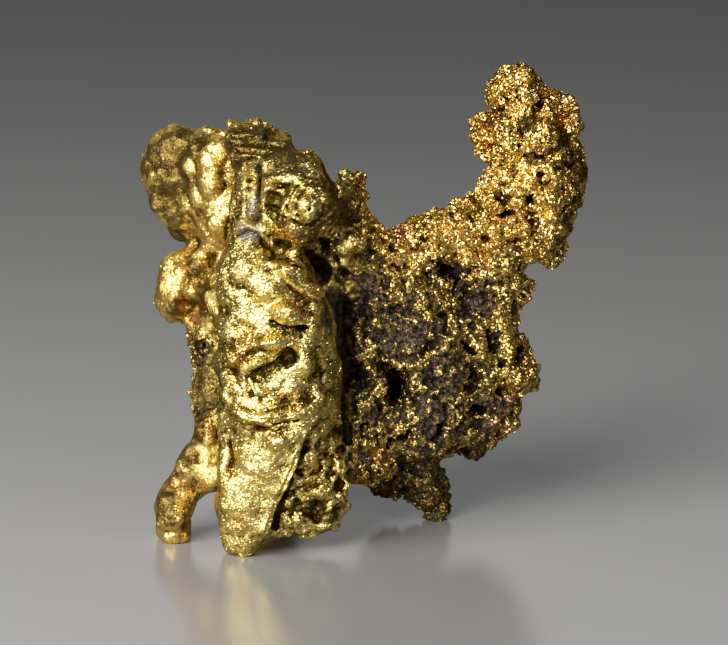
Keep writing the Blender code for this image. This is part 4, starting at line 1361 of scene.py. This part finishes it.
bpy.ops.object.select_all(action="DESELECT")
bpy.ops.mesh.primitive_plane_add(size=CARD_SIZE, location=(0, CARD_BACK, 0))
table_card = bpy.context.object
table_card.name = "table_card"
bpy.ops.object.transform_apply(location=True)
card, _tree, card_shader = new_material("coated_card")
card_shader.inputs["Base Color"].default_value = CARD_GREY
card_shader.inputs["Roughness"].default_value = CARD_ROUGH
card_shader.inputs["Specular IOR Level"].default_value = CARD_SHEEN
table_card.data.materials.append(card)
print("the card is", CARD_SIZE, "m wide")

# %% Lights
MIDDLE = Vector((0, 0, 0.014))
ROOM_GREY = colour("#b9bcc2")
ROOM_GLOW = 0.06

metal_only = bpy.data.collections.new("metal_only")
for piece in (*pieces, crystals):
    metal_only.objects.link(piece)


def looking_at(middle, azimuth, height, distance):
    """The place so many degrees round from the front and up from level, turned to the middle."""
    a, e = math.radians(azimuth), math.radians(height)
    away = Vector((math.sin(a) * math.cos(e), -math.cos(a) * math.cos(e), math.sin(e)))
    turn = (-away).to_track_quat("-Z", "Y").to_matrix().to_4x4()
    return Matrix.Translation(middle + away * distance) @ turn


def softbox(name, azimuth, height, distance, size, watts, receivers):
    lamp = bpy.data.lights.new(name, "AREA")
    lamp.shape = "RECTANGLE"
    lamp.size, lamp.size_y = size
    lamp.energy = watts
    holder = put_in_scene(name, lamp)
    holder.light_linking.receiver_collection = receivers
    holder.matrix_world = looking_at(MIDDLE, azimuth, height, distance)


LAMPS = [
    # name, degrees round and up, distance, size, watts, and what it lights if not all
    ("key", -42, 34, 0.26, (0.21, 0.17), 1.14, None),
    ("front_card", -24, 15, 0.34, (0.20, 0.14), 0.68, metal_only),
    ("low_card", -28, 4.5, 0.30, (0.18, 0.045), 0.24, metal_only),
    ("fill", 55, 32, 0.34, (0.07, 0.07), 0.11, None),
    ("back", 180, 20.5, 0.52, (0.40, 0.10), 0.18, None),
    ("back_fill", -150, 24, 0.34, (0.16, 0.12), 0.10, metal_only),
]

for lamp in LAMPS:
    softbox(*lamp)

world = bpy.data.worlds.new("studio")
world.use_nodes = True
background = world.node_tree.nodes["Background"]
background.inputs["Color"].default_value = ROOM_GREY
background.inputs["Strength"].default_value = ROOM_GLOW
bpy.context.scene.world = world
print("lamps:", [name for name, *_rest in LAMPS])

# %% Camera
CAMERA_DISTANCE = 0.2366
CAMERA_HEIGHT = 14
AIM = Vector((0, 0, 0.0139))
LENS, SENSOR = 180, 36
NEAREST = 0.01

camera_data = bpy.data.cameras.new("camera")
camera_data.lens = LENS
camera_data.sensor_width = SENSOR
camera_data.clip_start = NEAREST
camera = put_in_scene("camera", camera_data)
camera.matrix_world = looking_at(AIM, 0, CAMERA_HEIGHT, CAMERA_DISTANCE)
bpy.context.scene.camera = camera
print("the camera sees", round(math.degrees(camera_data.angle), 1), "degrees")

# %% [markdown]
# ## Highlights
# Every facet that meets a softbox is far brighter than white paper. A camera lets such light
# roll off softly, so the glints stay yellow for longer. The standard view would cut it off at
# white. A curve over the whole picture gives the same roll-off, and leaves the dark and middle
# tones as they are.

# %% Let the highlights roll off as a camera does
ROLL_OFF = [(0, 0), (0.5, 0.5), (0.8, 0.72), (1.2, 0.86), (2.0, 0.95), (4.0, 1.0)]

view = bpy.context.scene.view_settings
view.view_transform = "Standard"
view.use_curve_mapping = True
view.curve_mapping.clip_max_x = ROLL_OFF[-1][0]
curve = view.curve_mapping.curves[3]
curve.points[0].location = ROLL_OFF[0]
curve.points[-1].location = ROLL_OFF[-1]
for x, y in ROLL_OFF[1:-1]:
    curve.points.new(x, y)
for point in curve.points:
    point.handle_type = "VECTOR"
view.curve_mapping.update()
print("points of the curve:", len(curve.points))
